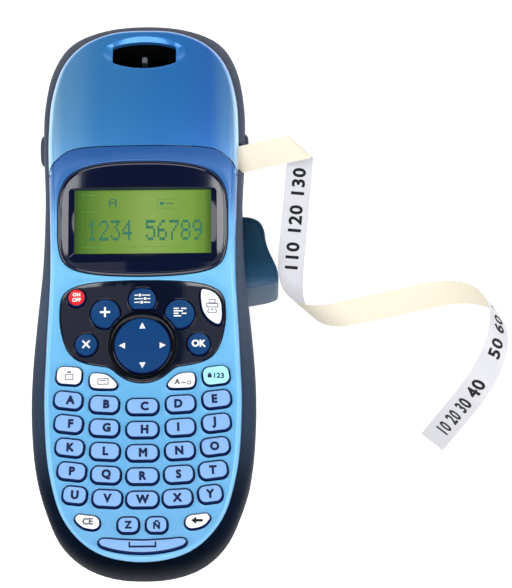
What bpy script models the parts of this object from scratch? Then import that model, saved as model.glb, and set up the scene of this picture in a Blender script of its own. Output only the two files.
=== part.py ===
"""A hand-held label maker, lying on its back with a printed strip out of its side.

Sizes here are in millimetres, and the meshes are made in metres.
Origin: the flat back, on the centre line. +X is the cutter lever's side,
+Y the head end with the cassette, +Z out of the front face.
"""

import math

import bmesh
import bpy
from mathutils import Vector
from mathutils.geometry import delaunay_2d_cdt

MM = 0.001
GAP = 0.3
RING = 64

# The front face: straight under the keys, then a wide arc over the cassette.
FACE_SLOPE = 0.105
FACE_BEND_Y = 5.0
FACE_BEND_Z = 45.2
FACE_RADIUS = 196.0
FACE_CROWN = 0.0015

# Right halves of the outlines seen from the front, from the head to the tail.
RIM_OUTLINE = (
    (0, 93.3), (11, 92.3), (20.4, 87.6), (26.5, 79.7), (29.9, 67), (30.7, 52),
    (29.9, 28), (29.5, 5), (30.6, -20), (31.1, -40), (29.2, -60.5),
    (24.2, -75.5), (14.6, -84.8), (0, -88),
)
WAIST_OUTLINE = (
    (0, 99), (14.5, 97), (24.6, 91.4), (30.1, 81.2), (32.6, 66), (32.7, 52),
    (31.8, 32), (32.3, 10), (34, -8), (35.4, -25), (35.6, -40), (34.2, -56),
    (31.2, -68.2), (26.2, -79.2), (18.6, -86.2), (10, -89.4), (0, -90.3),
)
BEZEL_OUTLINE = (
    (0, 41.1), (8.5, 40.9), (14.5, 40.2), (19.3, 39), (22.4, 37.3), (24.8, 34.8),
    (26.2, 31.8), (26.9, 28), (27, 21), (26.9, 14.5), (26.2, 10), (24.9, 7.1),
    (22.2, 5), (18.2, 3.7), (12.5, 2.8), (6, 2.35), (0, 2.2),
)
PANEL_OUTLINE = (
    (0, 0.8), (11, 0.6), (18, 0), (22, -1.1), (24.4, -2.6), (25.7, -4.8), (26.1, -8),
    (26.1, -12), (25.3, -16.8), (24.1, -20.3), (22.7, -22.6), (20.4, -24.5), (17.3, -25.7),
    (13.4, -26.5), (10.8, -27), (9.2, -28), (7.4, -29.5), (4.1, -31.4), (0, -32.1),
)
SEAM = (
    (-40, 36.2), (-30.9, 37.2), (-30.3, 38), (-29.4, 39.7), (-28.6, 41), (-27.8, 42.1),
    (-27, 43), (-26.2, 43.8), (-25.2, 44.6), (-23.2, 45.7), (-15, 46.7), (0, 46.8),
)

# Shells
PLATE = 1.8
SIDE_WALL = 2.0
REST_INSET = 7.0
FLOOR = 2.2

# Display
WINDOW = (22.1, 9.6, 31.6)
BEZEL_PROUD = 0.5
LCD_DEPTH = 1.9
BOARD_DEPTH = 6.6
BOARD = 1.6

# Keys
KEY_PROUD = 0.95
KEY_GAP = 0.3
KEY_FLANGE = 0.45
KEY_DEPTH = 4.0
LETTER_ROWS = 5
OUTER_X, OUTER_Y, OUTER_PITCH = 23.25, -37.4, 7.5
INNER_X, INNER_Y, INNER_PITCH = 11.95, -39.0, 7.42
MIDDLE_Y, MIDDLE_PITCH = -39.8, 7.33
NAV_CENTRE = (0.0, -20.4)
NAV_RADIUS = 9.2
NAV_RING = 11.5

# Cassette cover
FINGER_OVAL = (0.0, 83.0, 13.3, 6.5)
FINGER_WELL = (10.4, 82.7, 0.91)
FINGER_DEPTH = 3.6
COVER_AXIS = (38.6, 42.6)
EAR_RADIUS = 1.2
COVER_PIN = 0.7
SEAM_BEVEL = 0.7

# Cutter lever
LEVER_PIVOT = (26.8, 25.0)
LEVER_Z = (11.5, 31.0)
LEVER_OUTLINE = (
    (25, 3.2), (25, 28), (31, 28), (34.6, 27.6), (37.2, 26.2), (38.6, 23.6),
    (39.2, 19.5), (40.3, 15.8), (41.7, 12.6), (43, 8.9), (42.9, 5.9),
    (41.2, 4.9), (36, 3.7), (32, 3.2),
)

# Print unit and drive
PLATEN = (11.5, 41.3)
PLATEN_RADIUS = 3.4
PLATEN_TEETH, DRIVE_TEETH, GEAR_MODULE = 12, 20, 0.8
GEAR_Z = (16.0, 19.0)

# Cassette
CASSETTE = (-22.5, 21.5, 51.2, 74.2)
CASSETTE_Z = (18.0, 35.5)
REEL = (-9.0, 62.7)
REEL_RADIUS = 10.0
HUB_RADIUS = 2.5

# Batteries
CELL_RADIUS = 7.25
CELL_LENGTH = 50.0
CELL_PITCH = 14.7
CELL_Z = 10.2
BAY = (24.6, -57.0, -6.0)

# Printed strip: its width, thickness and bends. A bend is its place along the
# strip, the turn of its axis from square across, its radius and its sweep.
STRIP_WIDTH = 9.0
STRIP_THICK = 0.2
STRIP_START = (4.0, 45.15, 37.6)
STRIP_TWIST_FROM = 17.5
STRIP_EXIT = (30.0, 44.9, 36.5)
STRIP_RISE = 0.205
STRIP_LEAN = 0.34
STRIP_BENDS = (
    (19.2, 0.62, 1.5, 3.0),
    (58.0, 0.616, -9.8, 2.97),
    (121.9, 0.43, 15.0, 3.94),
)
STRIP_LENGTH = 214.8
VIEW_TILT = math.radians(70)


def clear_scene():
    for obj in list(bpy.data.objects):
        bpy.data.objects.remove(obj, do_unlink=True)


def blend(low, high, share):
    return low + (high - low) * max(0.0, min(1.0, share))


def centre_z(y):
    """Height of the front face on the centre line."""
    t = y - FACE_BEND_Y
    if t < 0:
        return FACE_BEND_Z + FACE_SLOPE * t
    return FACE_BEND_Z + FACE_SLOPE * t - t * t / (2 * FACE_RADIUS)


def face_z(x, y):
    return centre_z(y) - FACE_CROWN * x * x


def shell_drop(y):
    """Depth of the front shell's edge below the face."""
    if y > 0:
        return blend(5.5, 6.0, (y - 50) / 30)
    if y > -67:
        return blend(5.5, 3.5, (-45 - y) / 22)
    return blend(3.5, 2.3, (-67 - y) / 21)


def rim_z(y):
    """Height of the joint between the front and rear shells."""
    return centre_z(y) - shell_drop(y)


def edge_in(y):
    """Width of the front shell's rounded edge."""
    if y > 0:
        return blend(2.1, 2.5, (y - 70) / 20)
    if y > -70:
        return blend(2.1, 1.3, (-55 - y) / 15)
    return blend(1.3, 1.0, (-70 - y) / 18)


def tail_in(y):
    """Share of the tail's undercut at y."""
    return blend(0, 1, (-58 - y) / 30)


def spline(points, steps):
    """A closed centripetal Catmull-Rom curve through the points."""
    found = []
    count = len(points)
    for i in range(count):
        p = [Vector(points[(i + k - 1) % count]) for k in range(4)]
        t = [0.0]
        for a, b in zip(p, p[1:]):
            t.append(t[-1] + math.sqrt((b - a).length))
        for k in range(steps):
            u = t[1] + (t[2] - t[1]) * k / steps
            a1 = p[0] * (t[1] - u) / (t[1] - t[0]) + p[1] * (u - t[0]) / (t[1] - t[0])
            a2 = p[1] * (t[2] - u) / (t[2] - t[1]) + p[2] * (u - t[1]) / (t[2] - t[1])
            a3 = p[2] * (t[3] - u) / (t[3] - t[2]) + p[3] * (u - t[2]) / (t[3] - t[2])
            b1 = a1 * (t[2] - u) / (t[2] - t[0]) + a2 * (u - t[0]) / (t[2] - t[0])
            b2 = a2 * (t[3] - u) / (t[3] - t[1]) + a3 * (u - t[1]) / (t[3] - t[1])
            found.append(b1 * (t[2] - u) / (t[2] - t[1]) + b2 * (u - t[1]) / (t[2] - t[1]))
    return found


def resample(loop, count):
    """The closed loop as count points, evenly spaced from its first one."""
    ends = loop[1:] + loop[:1]
    total = sum((b - a).length for a, b in zip(loop, ends))
    found = []
    done = 0.0
    for a, b in zip(loop, ends):
        length = (b - a).length
        while len(found) < count and len(found) * total / count <= done + length + 1e-9:
            share = (len(found) * total / count - done) / length
            found.append(a.lerp(b, share))
        done += length
    return found


def mirrored(half, count):
    """A closed loop from its right half, clockwise from the top centre."""
    left = [(-x, y) for x, y in reversed(half[1:-1])]
    return resample(spline(list(half) + left, 12), count)


def inset(loop, depth):
    """The loop moved inwards; depth is a number or a function of y."""
    count = len(loop)
    found = []
    for i, p in enumerate(loop):
        along = loop[(i + 1) % count] - loop[i - 1]
        inward = Vector((along.y, -along.x)).normalized()
        found.append(p + inward * (depth(p.y) if callable(depth) else depth))
    if area(loop) > 0:
        found = [2 * p - q for p, q in zip(loop, found)]
    return found


def area(loop):
    return sum(a.x * b.y - b.x * a.y for a, b in zip(loop, loop[1:] + loop[:1])) / 2


def inside(loop, x, y):
    found = False
    for a, b in zip(loop, loop[1:] + loop[:1]):
        if (a.y > y) != (b.y > y) and x < (b.x - a.x) * (y - a.y) / (b.y - a.y) + a.x:
            found = not found
    return found


class Shape:
    """Gathers points and faces in millimetres, and makes them one closed mesh."""

    def __init__(self):
        self.points = []
        self.faces = []

    def ring(self, points):
        start = len(self.points)
        self.points += [Vector(p) for p in points]
        return list(range(start, len(self.points)))

    def level(self, loop, height):
        """A ring over a plan loop; height is a number or a function of x and y."""
        z = height if callable(height) else (lambda x, y: height)
        return self.ring([(p.x, p.y, z(p.x, p.y)) for p in loop])

    def bridge(self, first, second):
        for i in range(len(first)):
            self.faces.append((first[i - 1], first[i], second[i], second[i - 1]))

    def stack(self, rings):
        for first, second in zip(rings, rings[1:]):
            self.bridge(first, second)

    def cap(self, ring):
        self.faces.append(tuple(ring))

    def sheet(self, outer, holes, height, spacing):
        """Fills between rings with triangles that follow the height function."""
        loops = [outer] + list(holes)
        flat = [[Vector((self.points[i].x, self.points[i].y)) for i in loop] for loop in loops]
        index = [i for loop in loops for i in loop]
        xy = [p for loop in flat for p in loop]
        edges = []
        start = 0
        for loop in loops:
            n = len(loop)
            edges += [(start + i, start + (i + 1) % n) for i in range(n)]
            start += n
        known = len(xy)
        reach = [p.x for p in flat[0]] + [p.y for p in flat[0]]
        low_x, high_x = min(reach[: len(outer)]), max(reach[: len(outer)])
        low_y, high_y = min(reach[len(outer):]), max(reach[len(outer):])
        for i in range(int((high_x - low_x) / spacing) + 1):
            for j in range(int((high_y - low_y) / spacing) + 1):
                p = Vector((low_x + (i + 0.5) * spacing, low_y + (j + 0.5) * spacing))
                if not inside(flat[0], p.x, p.y):
                    continue
                if any(inside(loop, p.x, p.y) for loop in flat[1:]):
                    continue
                if min((p - q).length for q in xy[:known]) < 0.45 * spacing:
                    continue
                index += self.ring([(p.x, p.y, height(p.x, p.y))])
                xy.append(p)
        verts, _, faces, sources, _, _ = delaunay_2d_cdt(xy, edges, [], 0, 1e-7)
        for face in faces:
            mid = sum((verts[i] for i in face), Vector((0, 0))) / len(face)
            if not inside(flat[0], mid.x, mid.y):
                continue
            if any(inside(loop, mid.x, mid.y) for loop in flat[1:]):
                continue
            self.faces.append(tuple(index[sources[i][0]] for i in face))

    def make(self, name, origin=(0, 0, 0)):
        origin = Vector(origin)
        mesh = bpy.data.meshes.new(name)
        mesh.from_pydata([(p - origin) * MM for p in self.points], [], self.faces)
        work = bmesh.new()
        work.from_mesh(mesh)
        bmesh.ops.recalc_face_normals(work, faces=work.faces)
        work.to_mesh(mesh)
        work.free()
        obj = bpy.data.objects.new(name, mesh)
        obj.location = origin * MM
        bpy.context.scene.collection.objects.link(obj)
        return obj


def circle(x, y, radius, count):
    turn = 2 * math.pi / count
    angles = [i * turn for i in range(count)]
    return [Vector((x + radius * math.sin(a), y + radius * math.cos(a))) for a in angles]


def ellipse(x, y, rx, ry, count):
    return [Vector((x + p.x * rx, y + p.y * ry)) for p in circle(0, 0, 1, count)]


def box_loop(x, y, width, height, radius, turn=0.0, steps=4):
    """A rectangle with rounded corners, turned about its centre."""
    found = []
    cos, sin = math.cos(turn), math.sin(turn)
    for corner in range(4):
        cx = (width / 2 - radius) * (1 if corner in (0, 1) else -1)
        cy = (height / 2 - radius) * (1 if corner in (0, 3) else -1)
        for k in range(steps):
            a = math.pi / 2 * (1 - corner - k / (steps - 1))
            px, py = cx + radius * math.cos(a), cy + radius * math.sin(a)
            found.append(Vector((x + px * cos - py * sin, y + px * sin + py * cos)))
    return found


def prism(name, loop, low, high, origin=(0, 0, 0)):
    shape = Shape()
    rings = [shape.level(loop, low), shape.level(loop, high)]
    shape.stack(rings)
    shape.cap(rings[0])
    shape.cap(rings[1])
    return shape.make(name, origin)


def block(name, x, y, z):
    loop = [Vector((x[0], y[0])), Vector((x[0], y[1])), Vector((x[1], y[1])), Vector((x[1], y[0]))]
    return prism(name, loop, z[0], z[1])


def rod_x(name, x, y, z, radius, count=16):
    """A cylinder along X."""
    shape = Shape()
    rings = [shape.ring([(end, p.x, p.y) for p in circle(y, z, radius, count)]) for end in x]
    shape.stack(rings)
    shape.cap(rings[0])
    shape.cap(rings[1])
    return shape.make(name)


def combine(target, operation, tools):
    """Adds or takes away hidden helper solids with exact Booleans."""
    for tool in tools:
        tool.hide_render = True
        tool.display_type = "WIRE"
        modifier = target.modifiers.new(tool.name, "BOOLEAN")
        modifier.operation = operation
        modifier.object = tool
        modifier.solver = "EXACT"


# --- Shells ---------------------------------------------------------------

RIM = mirrored(RIM_OUTLINE, RING)
WAIST = mirrored(WAIST_OUTLINE, RING)


def between(share):
    return [a.lerp(b, share) for a, b in zip(RIM, WAIST)]


def clipped_oval(oval):
    """The well's lower edge: the oval with upright ends, a little smaller."""
    half, y, share = FINGER_WELL
    middle = FINGER_OVAL[1]
    return [Vector((max(-half, min(half, p.x)), y + (p.y - middle) * share)) for p in oval]


def lid(name, openings, well=None):
    """The whole front shell with openings; well is an opening with a collar."""
    shape = Shape()
    edge = inset(RIM, edge_in)
    wall = inset(RIM, lambda y: min(SIDE_WALL, edge_in(y) + 0.1))
    flank = ((1.0, 0.0), (0.57, 0.09), (0.24, 0.29), (0.07, 0.6), (0.0, 1.0))
    rings = []
    for part, fall in flank:
        loop = inset(RIM, lambda y, part=part: edge_in(y) * part)
        low = [rim_z(q.y) + GAP / 2 for q in RIM]
        top = [face_z(p.x, p.y) for p in edge]
        rings.append(shape.ring([
            (p.x, p.y, t + (b - t) * fall) for p, t, b in zip(loop, top, low)
        ]))
    rings.append(shape.ring([(p.x, p.y, rim_z(q.y) + GAP / 2) for p, q in zip(wall, RIM)]))
    rings.append(shape.level(wall, lambda x, y: face_z(x, y) - PLATE))
    shape.stack(rings)
    tops = [shape.level(loop, face_z) for loop in openings]
    lows = [shape.level(loop, lambda x, y: face_z(x, y) - PLATE) for loop in openings]
    for top, low in zip(tops, lows):
        shape.bridge(top, low)
    if well:
        wide, narrow = well
        steps = [shape.level(wide, face_z)]
        steps.append(shape.level(narrow, lambda x, y: face_z(x, y) - 2.6))
        steps.append(shape.level(narrow, lambda x, y: face_z(x, y) - FINGER_DEPTH))
        steps.append(shape.level(inset(narrow, -1.2), lambda x, y: face_z(x, y) - FINGER_DEPTH))
        steps.append(shape.level(inset(wide, -0.6), lambda x, y: face_z(x, y) - PLATE))
        shape.stack(steps)
        tops.append(steps[0])
        lows.append(steps[-1])
    shape.sheet(rings[0], tops, face_z, 9.0)
    shape.sheet(rings[-1], lows, lambda x, y: face_z(x, y) - PLATE, 9.0)
    return shape.make(name)


def seam_cutter(name, side, bevel):
    """A block over one side of the seam; the bevel leans back under the face."""
    half = [Vector(p) for p in SEAM]
    line = half + [Vector((-p.x, p.y)) for p in reversed(half[:-1])]
    far = 130 if side > 0 else -130
    shape = Shape()
    rings = []
    for z, lean_z in ((20, 39), (39, 39), (41, 41), (43, 43), (45, 45), (47, 47), (60, 47)):
        loop = []
        for p in line:
            share = blend(bevel, 0, (abs(p.x) - 25) / 4)
            lean = share * (face_z(p.x, p.y) - lean_z)
            if bevel:
                lean += blend(0, 0.6, (abs(p.x) - 27) / 2)
            loop.append((p.x, p.y + lean - side * GAP / 2, z))
        loop.append((40, far, z))
        loop.append((-40, far, z))
        rings.append(shape.ring(loop))
    shape.stack(rings)
    shape.cap(rings[0])
    shape.cap(rings[-1])
    return shape.make(name)


def build_rear_housing():
    shape = Shape()
    outer = (
        (RIM, lambda q: rim_z(q.y) - GAP / 2),
        (between(0.45), lambda q: rim_z(q.y) - 1.4),
        (between(0.82), lambda q: rim_z(q.y) - 3.7),
        (WAIST, lambda q: rim_z(q.y) - 7.6),
        (inset(WAIST, lambda y: 0.5 + 1.8 * tail_in(y)), lambda q: 16.0),
        (inset(WAIST, lambda y: 2.2 + 3.4 * tail_in(y)), lambda q: 6.5),
        (inset(WAIST, lambda y: 4.6 + 2.8 * tail_in(y)), lambda q: 1.6),
        (inset(WAIST, lambda y: REST_INSET + 1.5 * tail_in(y)), lambda q: 0.0),
    )
    inner = (
        (inset(WAIST, lambda y: 8.6 + 3.0 * tail_in(y)), lambda q: FLOOR),
        (inset(WAIST, lambda y: 5.2 + 3.4 * tail_in(y)), lambda q: 6.0),
        (inset(WAIST, lambda y: 2.9 + 1.9 * tail_in(y)), lambda q: 15.0),
        (inset(WAIST, 2.2), lambda q: rim_z(q.y) - 8.2),
        (inset(between(0.82), 2.4), lambda q: rim_z(q.y) - 4.4),
        (inset(RIM, lambda y: min(2.2, edge_in(y))), lambda q: rim_z(q.y) - GAP / 2),
    )
    made = []
    for loop, height in outer + inner:
        made.append(shape.ring([(p.x, p.y, height(q)) for p, q in zip(loop, RIM)]))
    shape.stack(made[: len(outer)])
    shape.stack(made[len(outer):])
    shape.bridge(made[-1], made[0])
    shape.cap(made[len(outer) - 1])
    shape.cap(made[len(outer)])
    housing = shape.make("rear_housing")
    x, y = LEVER_PIVOT
    combine(housing, "UNION", [
        block("latch_post", (-0.9, 0.9), (81.2, 83.4), (1.0, 33.0)),
        prism("lever_post", circle(x, y, 2.0, 16), 5.0, LEVER_Z[0] - GAP),
        prism("lever_pin", circle(x, y, 1.2, 16), 8.0, 20.0),
        prism("platen_boss", circle(*PLATEN, 2.8, 16), 1.0, GEAR_Z[0] - 0.6),
        side_boss("boss_left", -1),
        side_boss("boss_right", 1),
    ])
    bay_loop = box_loop(0, (BAY[1] + BAY[2]) / 2, 2 * BAY[0], BAY[2] - BAY[1], 0.6)
    combine(housing, "DIFFERENCE", [
        prism("platen_bearing", circle(*PLATEN, 1.4, 16), 10.0, 30.0),
        prism("battery_opening", bay_loop, -2.0, 4.0),
        block("strip_slot", (27.0, 40.0), (40.4, 50.0), (33.1, 50.0)),
        block("lever_window", (27.2, 40.0), (1.9, 28.8), (LEVER_Z[0] - 0.8, 31.8)),
    ])
    return housing


def side_boss(name, side):
    """A low oval boss on the side of the head."""
    shape = Shape()
    rings = []
    for reach, grow in ((29.6, 1.0), (32.6, 1.0), (33.5, 0.86), (33.9, 0.6)):
        loop = ellipse(52.2, 28.0, 5.2 * grow, 4.6 * grow, 16)
        rings.append(shape.ring([(side * reach, p.x, p.y) for p in loop]))
    shape.stack(rings)
    shape.cap(rings[0])
    shape.cap(rings[-1])
    return shape.make(name)


# --- Keys -----------------------------------------------------------------


def letter_keys():
    """Name, centre, size and turn of each letter key, in reading order."""
    names = iter("abcdefghijklmnopqrstuvwxy")
    found = []
    for row in range(LETTER_ROWS):
        for column in range(5):
            side = (column > 2) - (column < 2)
            if column in (0, 4):
                x = side * (OUTER_X - 0.135 * row * row)
                y = OUTER_Y - OUTER_PITCH * row
                size = (8.3 if row == 4 else 9.7, 6.3)
                turn = side * 8
            elif column in (1, 3):
                x = side * (INNER_X - 0.065 * row * row)
                y = INNER_Y - INNER_PITCH * row
                size = (10.0, 6.2)
                turn = side * 4
            else:
                x, y, size, turn = 0.0, MIDDLE_Y - MIDDLE_PITCH * row, (10.8, 5.9), 0
            found.append(("key_" + next(names), x, y, size, turn))
    return found


def rounded(points, count=16):
    return resample(spline(points, 8), count)


def clear_of_ring(loop):
    """The loop with its points kept out of the navigation pad's ring."""
    centre = Vector(NAV_CENTRE)
    return [centre + (p - centre) * max(1.0, NAV_RING / (p - centre).length) for p in loop]


def key_openings():
    """The opening of each key: those in the front shell, then those in the panel."""
    shell = {}
    for name, x, y, size, turn in letter_keys():
        shell[name] = box_loop(x, y, size[0], size[1], 2.6, math.radians(turn))
    shell["key_z"] = box_loop(-4.4, -77.1, 7.4, 5.8, 2.4)
    shell["key_n_tilde"] = box_loop(4.4, -77.1, 7.4, 5.8, 2.4)
    tab = (
        (21.4, -74.9), (20.2, -73.2), (17.5, -73.4), (14.2, -74.0), (13.0, -75.4),
        (13.1, -77.6), (14.6, -78.7), (17.9, -78.3), (19.6, -77.4), (20.7, -76.3),
    )
    shell["key_backspace"] = rounded(tab)
    shell["key_clear"] = rounded([(-x, y) for x, y in reversed(tab)])
    bar = (
        (0, -81.4), (7, -81.1), (12.6, -80.8), (13.8, -81.5), (14.1, -82.5),
        (13.4, -83.7), (11.8, -84.5), (7, -85.7), (0, -86.3),
    )
    shell["key_space"] = mirrored(bar, 26)
    shell["key_memory"] = box_loop(-23.0, -29.6, 8.7, 6.4, 2.4, math.radians(-6))
    shell["key_number_lock"] = box_loop(23.1, -29.9, 9.1, 6.6, 2.6, math.radians(8))
    clipped = (
        (16.2, -28.9), (17.0, -31.0), (16.2, -33.8), (12.0, -34.5),
        (8.2, -34.2), (7.5, -32.8), (10.4, -29.6), (12.6, -28.8),
    )
    shell["key_text_size"] = rounded(clipped)
    shell["key_preview"] = rounded([(-x, y) for x, y in reversed(clipped)])
    panel = {}
    panel["key_on_off"] = circle(-20.8, -4.6, 3.1, 16)
    panel["key_settings"] = rounded((
        (0, -1.5), (3.1, -2.3), (4.6, -4.8), (4.4, -7.3), (3.2, -8.8), (0, -9.0),
        (-3.2, -8.8), (-4.4, -7.3), (-4.6, -4.8), (-3.1, -2.3),
    ))
    panel["key_insert"] = clear_of_ring(circle(-11.7, -10.0, 5.0, 20))
    panel["key_format"] = clear_of_ring(circle(11.8, -10.2, 5.0, 20))
    panel["key_cancel"] = circle(-17.7, -19.8, 3.9, 16)
    panel["key_ok"] = circle(17.7, -19.8, 3.9, 16)
    panel["key_print"] = rounded((
        (18.1, -2.7), (18.6, -1.9), (20.9, -2), (23.5, -3.4), (25.1, -6), (25.5, -9.6),
        (25.2, -12.6), (24.3, -13.9), (22.9, -13.7), (20.6, -12.2), (18.9, -9.9), (18.1, -6.6),
    ))
    panel["nav_pad"] = circle(*NAV_CENTRE, NAV_RADIUS, 24)
    return shell, panel


def build_key(name, opening):
    """A key cap with a flange under the shell, following the face's slope."""
    count = len(opening)
    x = sum(p.x for p in opening) / count
    y = sum(p.y for p in opening) / count
    top = face_z(x, y)

    def height(rise):
        return lambda px, py: top + rise + (py - y) * FACE_SLOPE - 2 * FACE_CROWN * x * (px - x)

    body = inset(opening, KEY_GAP)
    flange = inset(opening, KEY_GAP - KEY_FLANGE)
    shape = Shape()
    rings = [
        shape.level(inset(body, 0.85), height(KEY_PROUD)),
        shape.level(inset(body, 0.2), height(KEY_PROUD - 0.3)),
        shape.level(body, height(-PLATE - GAP)),
        shape.level(flange, height(-PLATE - 2 * GAP)),
        shape.level(flange, height(-KEY_DEPTH)),
    ]
    shape.stack(rings)
    shape.cap(rings[0])
    shape.cap(rings[-1])
    return shape.make(name, (x, y, top))


# --- Front shell, cover, display and panel --------------------------------


def framed(name, outline, holes, rise, depth):
    """A plate that follows the face, with holes."""
    shape = Shape()
    top = shape.level(outline, lambda x, y: face_z(x, y) + rise)
    low = shape.level(outline, lambda x, y: face_z(x, y) - depth)
    shape.bridge(top, low)
    tops = [shape.level(loop, lambda x, y: face_z(x, y) + rise) for loop in holes]
    lows = [shape.level(loop, lambda x, y: face_z(x, y) - depth) for loop in holes]
    for first, second in zip(tops, lows):
        shape.bridge(first, second)
    shape.sheet(top, tops, lambda x, y: face_z(x, y) + rise, 8.0)
    shape.sheet(low, lows, lambda x, y: face_z(x, y) - depth, 8.0)
    return shape.make(name)


def build_front_shell(shell_keys, bezel, panel):
    shell = lid("front_shell", [inset(bezel, -0.25), inset(panel, -0.25)] + list(shell_keys.values()))
    y, z = COVER_AXIS
    combine(shell, "DIFFERENCE", [
        seam_cutter("above_seam", 1, 0),
        rod_x("ear_clearance_left", (-32, -28.8), y, z, EAR_RADIUS + GAP),
        rod_x("ear_clearance_right", (28.8, 32), y, z, EAR_RADIUS + GAP),
        rod_x("pin_hole_left", (-29, -27.8), y, z, COVER_PIN + 0.2),
        rod_x("pin_hole_right", (27.8, 29), y, z, COVER_PIN + 0.2),
    ])
    return shell


def build_cover():
    oval = ellipse(*FINGER_OVAL, 32)
    well = (oval, clipped_oval(oval))
    cover = lid("cassette_cover", [], well)
    y, z = COVER_AXIS
    axis = Vector((0, y, z)) * MM
    for vertex in cover.data.vertices:
        vertex.co -= axis
    cover.location = axis
    combine(cover, "DIFFERENCE", [seam_cutter("below_seam", -1, SEAM_BEVEL)])
    combine(cover, "UNION", [
        rod_x("ear_left", (-29.9, -29.1), y, z, EAR_RADIUS),
        rod_x("ear_right", (29.1, 29.9), y, z, EAR_RADIUS),
        rod_x("pin_left", (-29.5, -28.1), y, z, COVER_PIN),
        rod_x("pin_right", (28.1, 29.5), y, z, COVER_PIN),
        block("arm_left", (-29.85, -29.4), (y, y + 2.4), (z - 1.1, z - 0.3)),
        block("arm_right", (29.4, 29.85), (y, y + 2.4), (z - 1.1, z - 0.3)),
    ])
    return cover


def build_display():
    half, low, high = WINDOW
    bezel = mirrored(BEZEL_OUTLINE, 40)
    window = box_loop(0, (low + high) / 2, 2 * half, high - low, 1.6)
    framed("display_bezel", bezel, [window], BEZEL_PROUD, LCD_DEPTH - GAP)
    shape = Shape()
    loop = box_loop(0, (low + high) / 2, 48.4, 27.4, 1.0)
    top = shape.level(loop, lambda x, y: face_z(x, y) - LCD_DEPTH)
    low_ring = shape.level(loop, lambda x, y: centre_z(y) - BOARD_DEPTH + 0.8)
    shape.bridge(top, low_ring)
    shape.sheet(top, [], lambda x, y: face_z(x, y) - LCD_DEPTH, 9.0)
    shape.sheet(low_ring, [], lambda x, y: centre_z(y) - BOARD_DEPTH + 0.8, 9.0)
    shape.make("lcd_module")
    return bezel


def build_board():
    """The main board under the keys and the display."""
    edge = inset(RIM, 4.6)
    loop = [Vector((p.x, max(-78.0, min(34.0, p.y)))) for p in edge]
    loop = [p for i, p in enumerate(loop) if (p - loop[i - 1]).length > 0.5 and i % 2 == 0]
    shape = Shape()
    top = shape.level(loop, lambda x, y: centre_z(y) - BOARD_DEPTH)
    low = shape.level(loop, lambda x, y: centre_z(y) - BOARD_DEPTH - BOARD)
    shape.bridge(top, low)
    shape.sheet(top, [], lambda x, y: centre_z(y) - BOARD_DEPTH, 14.0)
    shape.sheet(low, [], lambda x, y: centre_z(y) - BOARD_DEPTH - BOARD, 14.0)
    return shape.make("main_board")


# --- Cutter, print unit and drive -----------------------------------------


def build_lever():
    x, y = LEVER_PIVOT
    loop = [Vector(p) for p in LEVER_OUTLINE]
    low, high = LEVER_Z
    shape = Shape()
    rings = [
        shape.level(inset(loop, 0.9), low),
        shape.level(loop, low + 0.9),
        shape.level(loop, high - 0.9),
        shape.level(inset(loop, 0.9), high),
    ]
    shape.stack(rings)
    shape.cap(rings[0])
    shape.cap(rings[-1])
    lever = shape.make("cutter_lever", (x, y, 0))
    combine(lever, "DIFFERENCE", [prism("lever_bore", circle(x, y, 1.4, 16), 10.0, 20.4)])
    return lever


def gear_loop(x, y, teeth, phase):
    """A plain gear outline with straight-sided teeth and some backlash."""
    pitch = GEAR_MODULE * teeth / 2
    found = []
    for i in range(teeth):
        mid = 2 * math.pi * (i + phase) / teeth
        step = 2 * math.pi / teeth
        root, tip = pitch - 0.8, pitch + 0.5
        for turn, radius in ((-0.29, root), (-0.12, tip), (0.12, tip), (0.29, root)):
            a = mid + turn * step
            found.append(Vector((x + radius * math.sin(a), y + radius * math.cos(a))))
    return found


def build_drive():
    x, y = PLATEN
    # Platen: shaft in the housing's bearing, gear, then the rubber roller.
    teeth = gear_loop(x, y, PLATEN_TEETH, 0.25)
    count = len(teeth)
    shaft = circle(x, y, 1.1, count)
    roller = circle(x, y, PLATEN_RADIUS, count)
    shape = Shape()
    rings = [
        shape.level(shaft, 11.0),
        shape.level(shaft, GEAR_Z[0]),
        shape.level(teeth, GEAR_Z[0]),
        shape.level(teeth, GEAR_Z[1]),
        shape.level(shaft, GEAR_Z[1]),
        shape.level(shaft, 33.0),
        shape.level(roller, 33.0),
        shape.level(roller, 42.0),
    ]
    shape.stack(rings)
    shape.cap(rings[0])
    shape.cap(rings[-1])
    shape.make("platen_roller", (x, y, 0))

    gear_x = x - GEAR_MODULE * (PLATEN_TEETH + DRIVE_TEETH) / 2
    teeth = gear_loop(gear_x, y, DRIVE_TEETH, 0.25)
    bore = circle(gear_x, y, 1.3, len(teeth))
    shape = Shape()
    rings = [
        shape.level(bore, GEAR_Z[0]),
        shape.level(teeth, GEAR_Z[0]),
        shape.level(teeth, GEAR_Z[1]),
        shape.level(bore, GEAR_Z[1]),
    ]
    shape.stack(rings)
    shape.bridge(rings[-1], rings[0])
    shape.make("drive_gear", (gear_x, y, 0))

    can = circle(gear_x, y, 7.5, 20)
    shaft = circle(gear_x, y, 1.0, 20)
    shape = Shape()
    rings = [
        shape.level(can, FLOOR + GAP),
        shape.level(can, GEAR_Z[0] - 0.6),
        shape.level(shaft, GEAR_Z[0] - 0.6),
        shape.level(shaft, GEAR_Z[1] + 0.8),
    ]
    shape.stack(rings)
    shape.cap(rings[0])
    shape.cap(rings[-1])
    shape.make("feed_motor")

    head = [Vector(p) for p in ((7.2, 45.7), (15.6, 45.7), (15.6, 49.6), (13.4, 50.4), (7.2, 50.4))]
    prism("print_head", head, 31.0, 42.0)

    edge = [Vector(p) for p in ((16.6, 35), (16.6, 40.7), (16.9, 41.9), (17.2, 40.7), (17.2, 35))]
    prism("cutter_blade", edge, 32.0, 42.0, (16.9, 38.4, 37.0))


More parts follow.
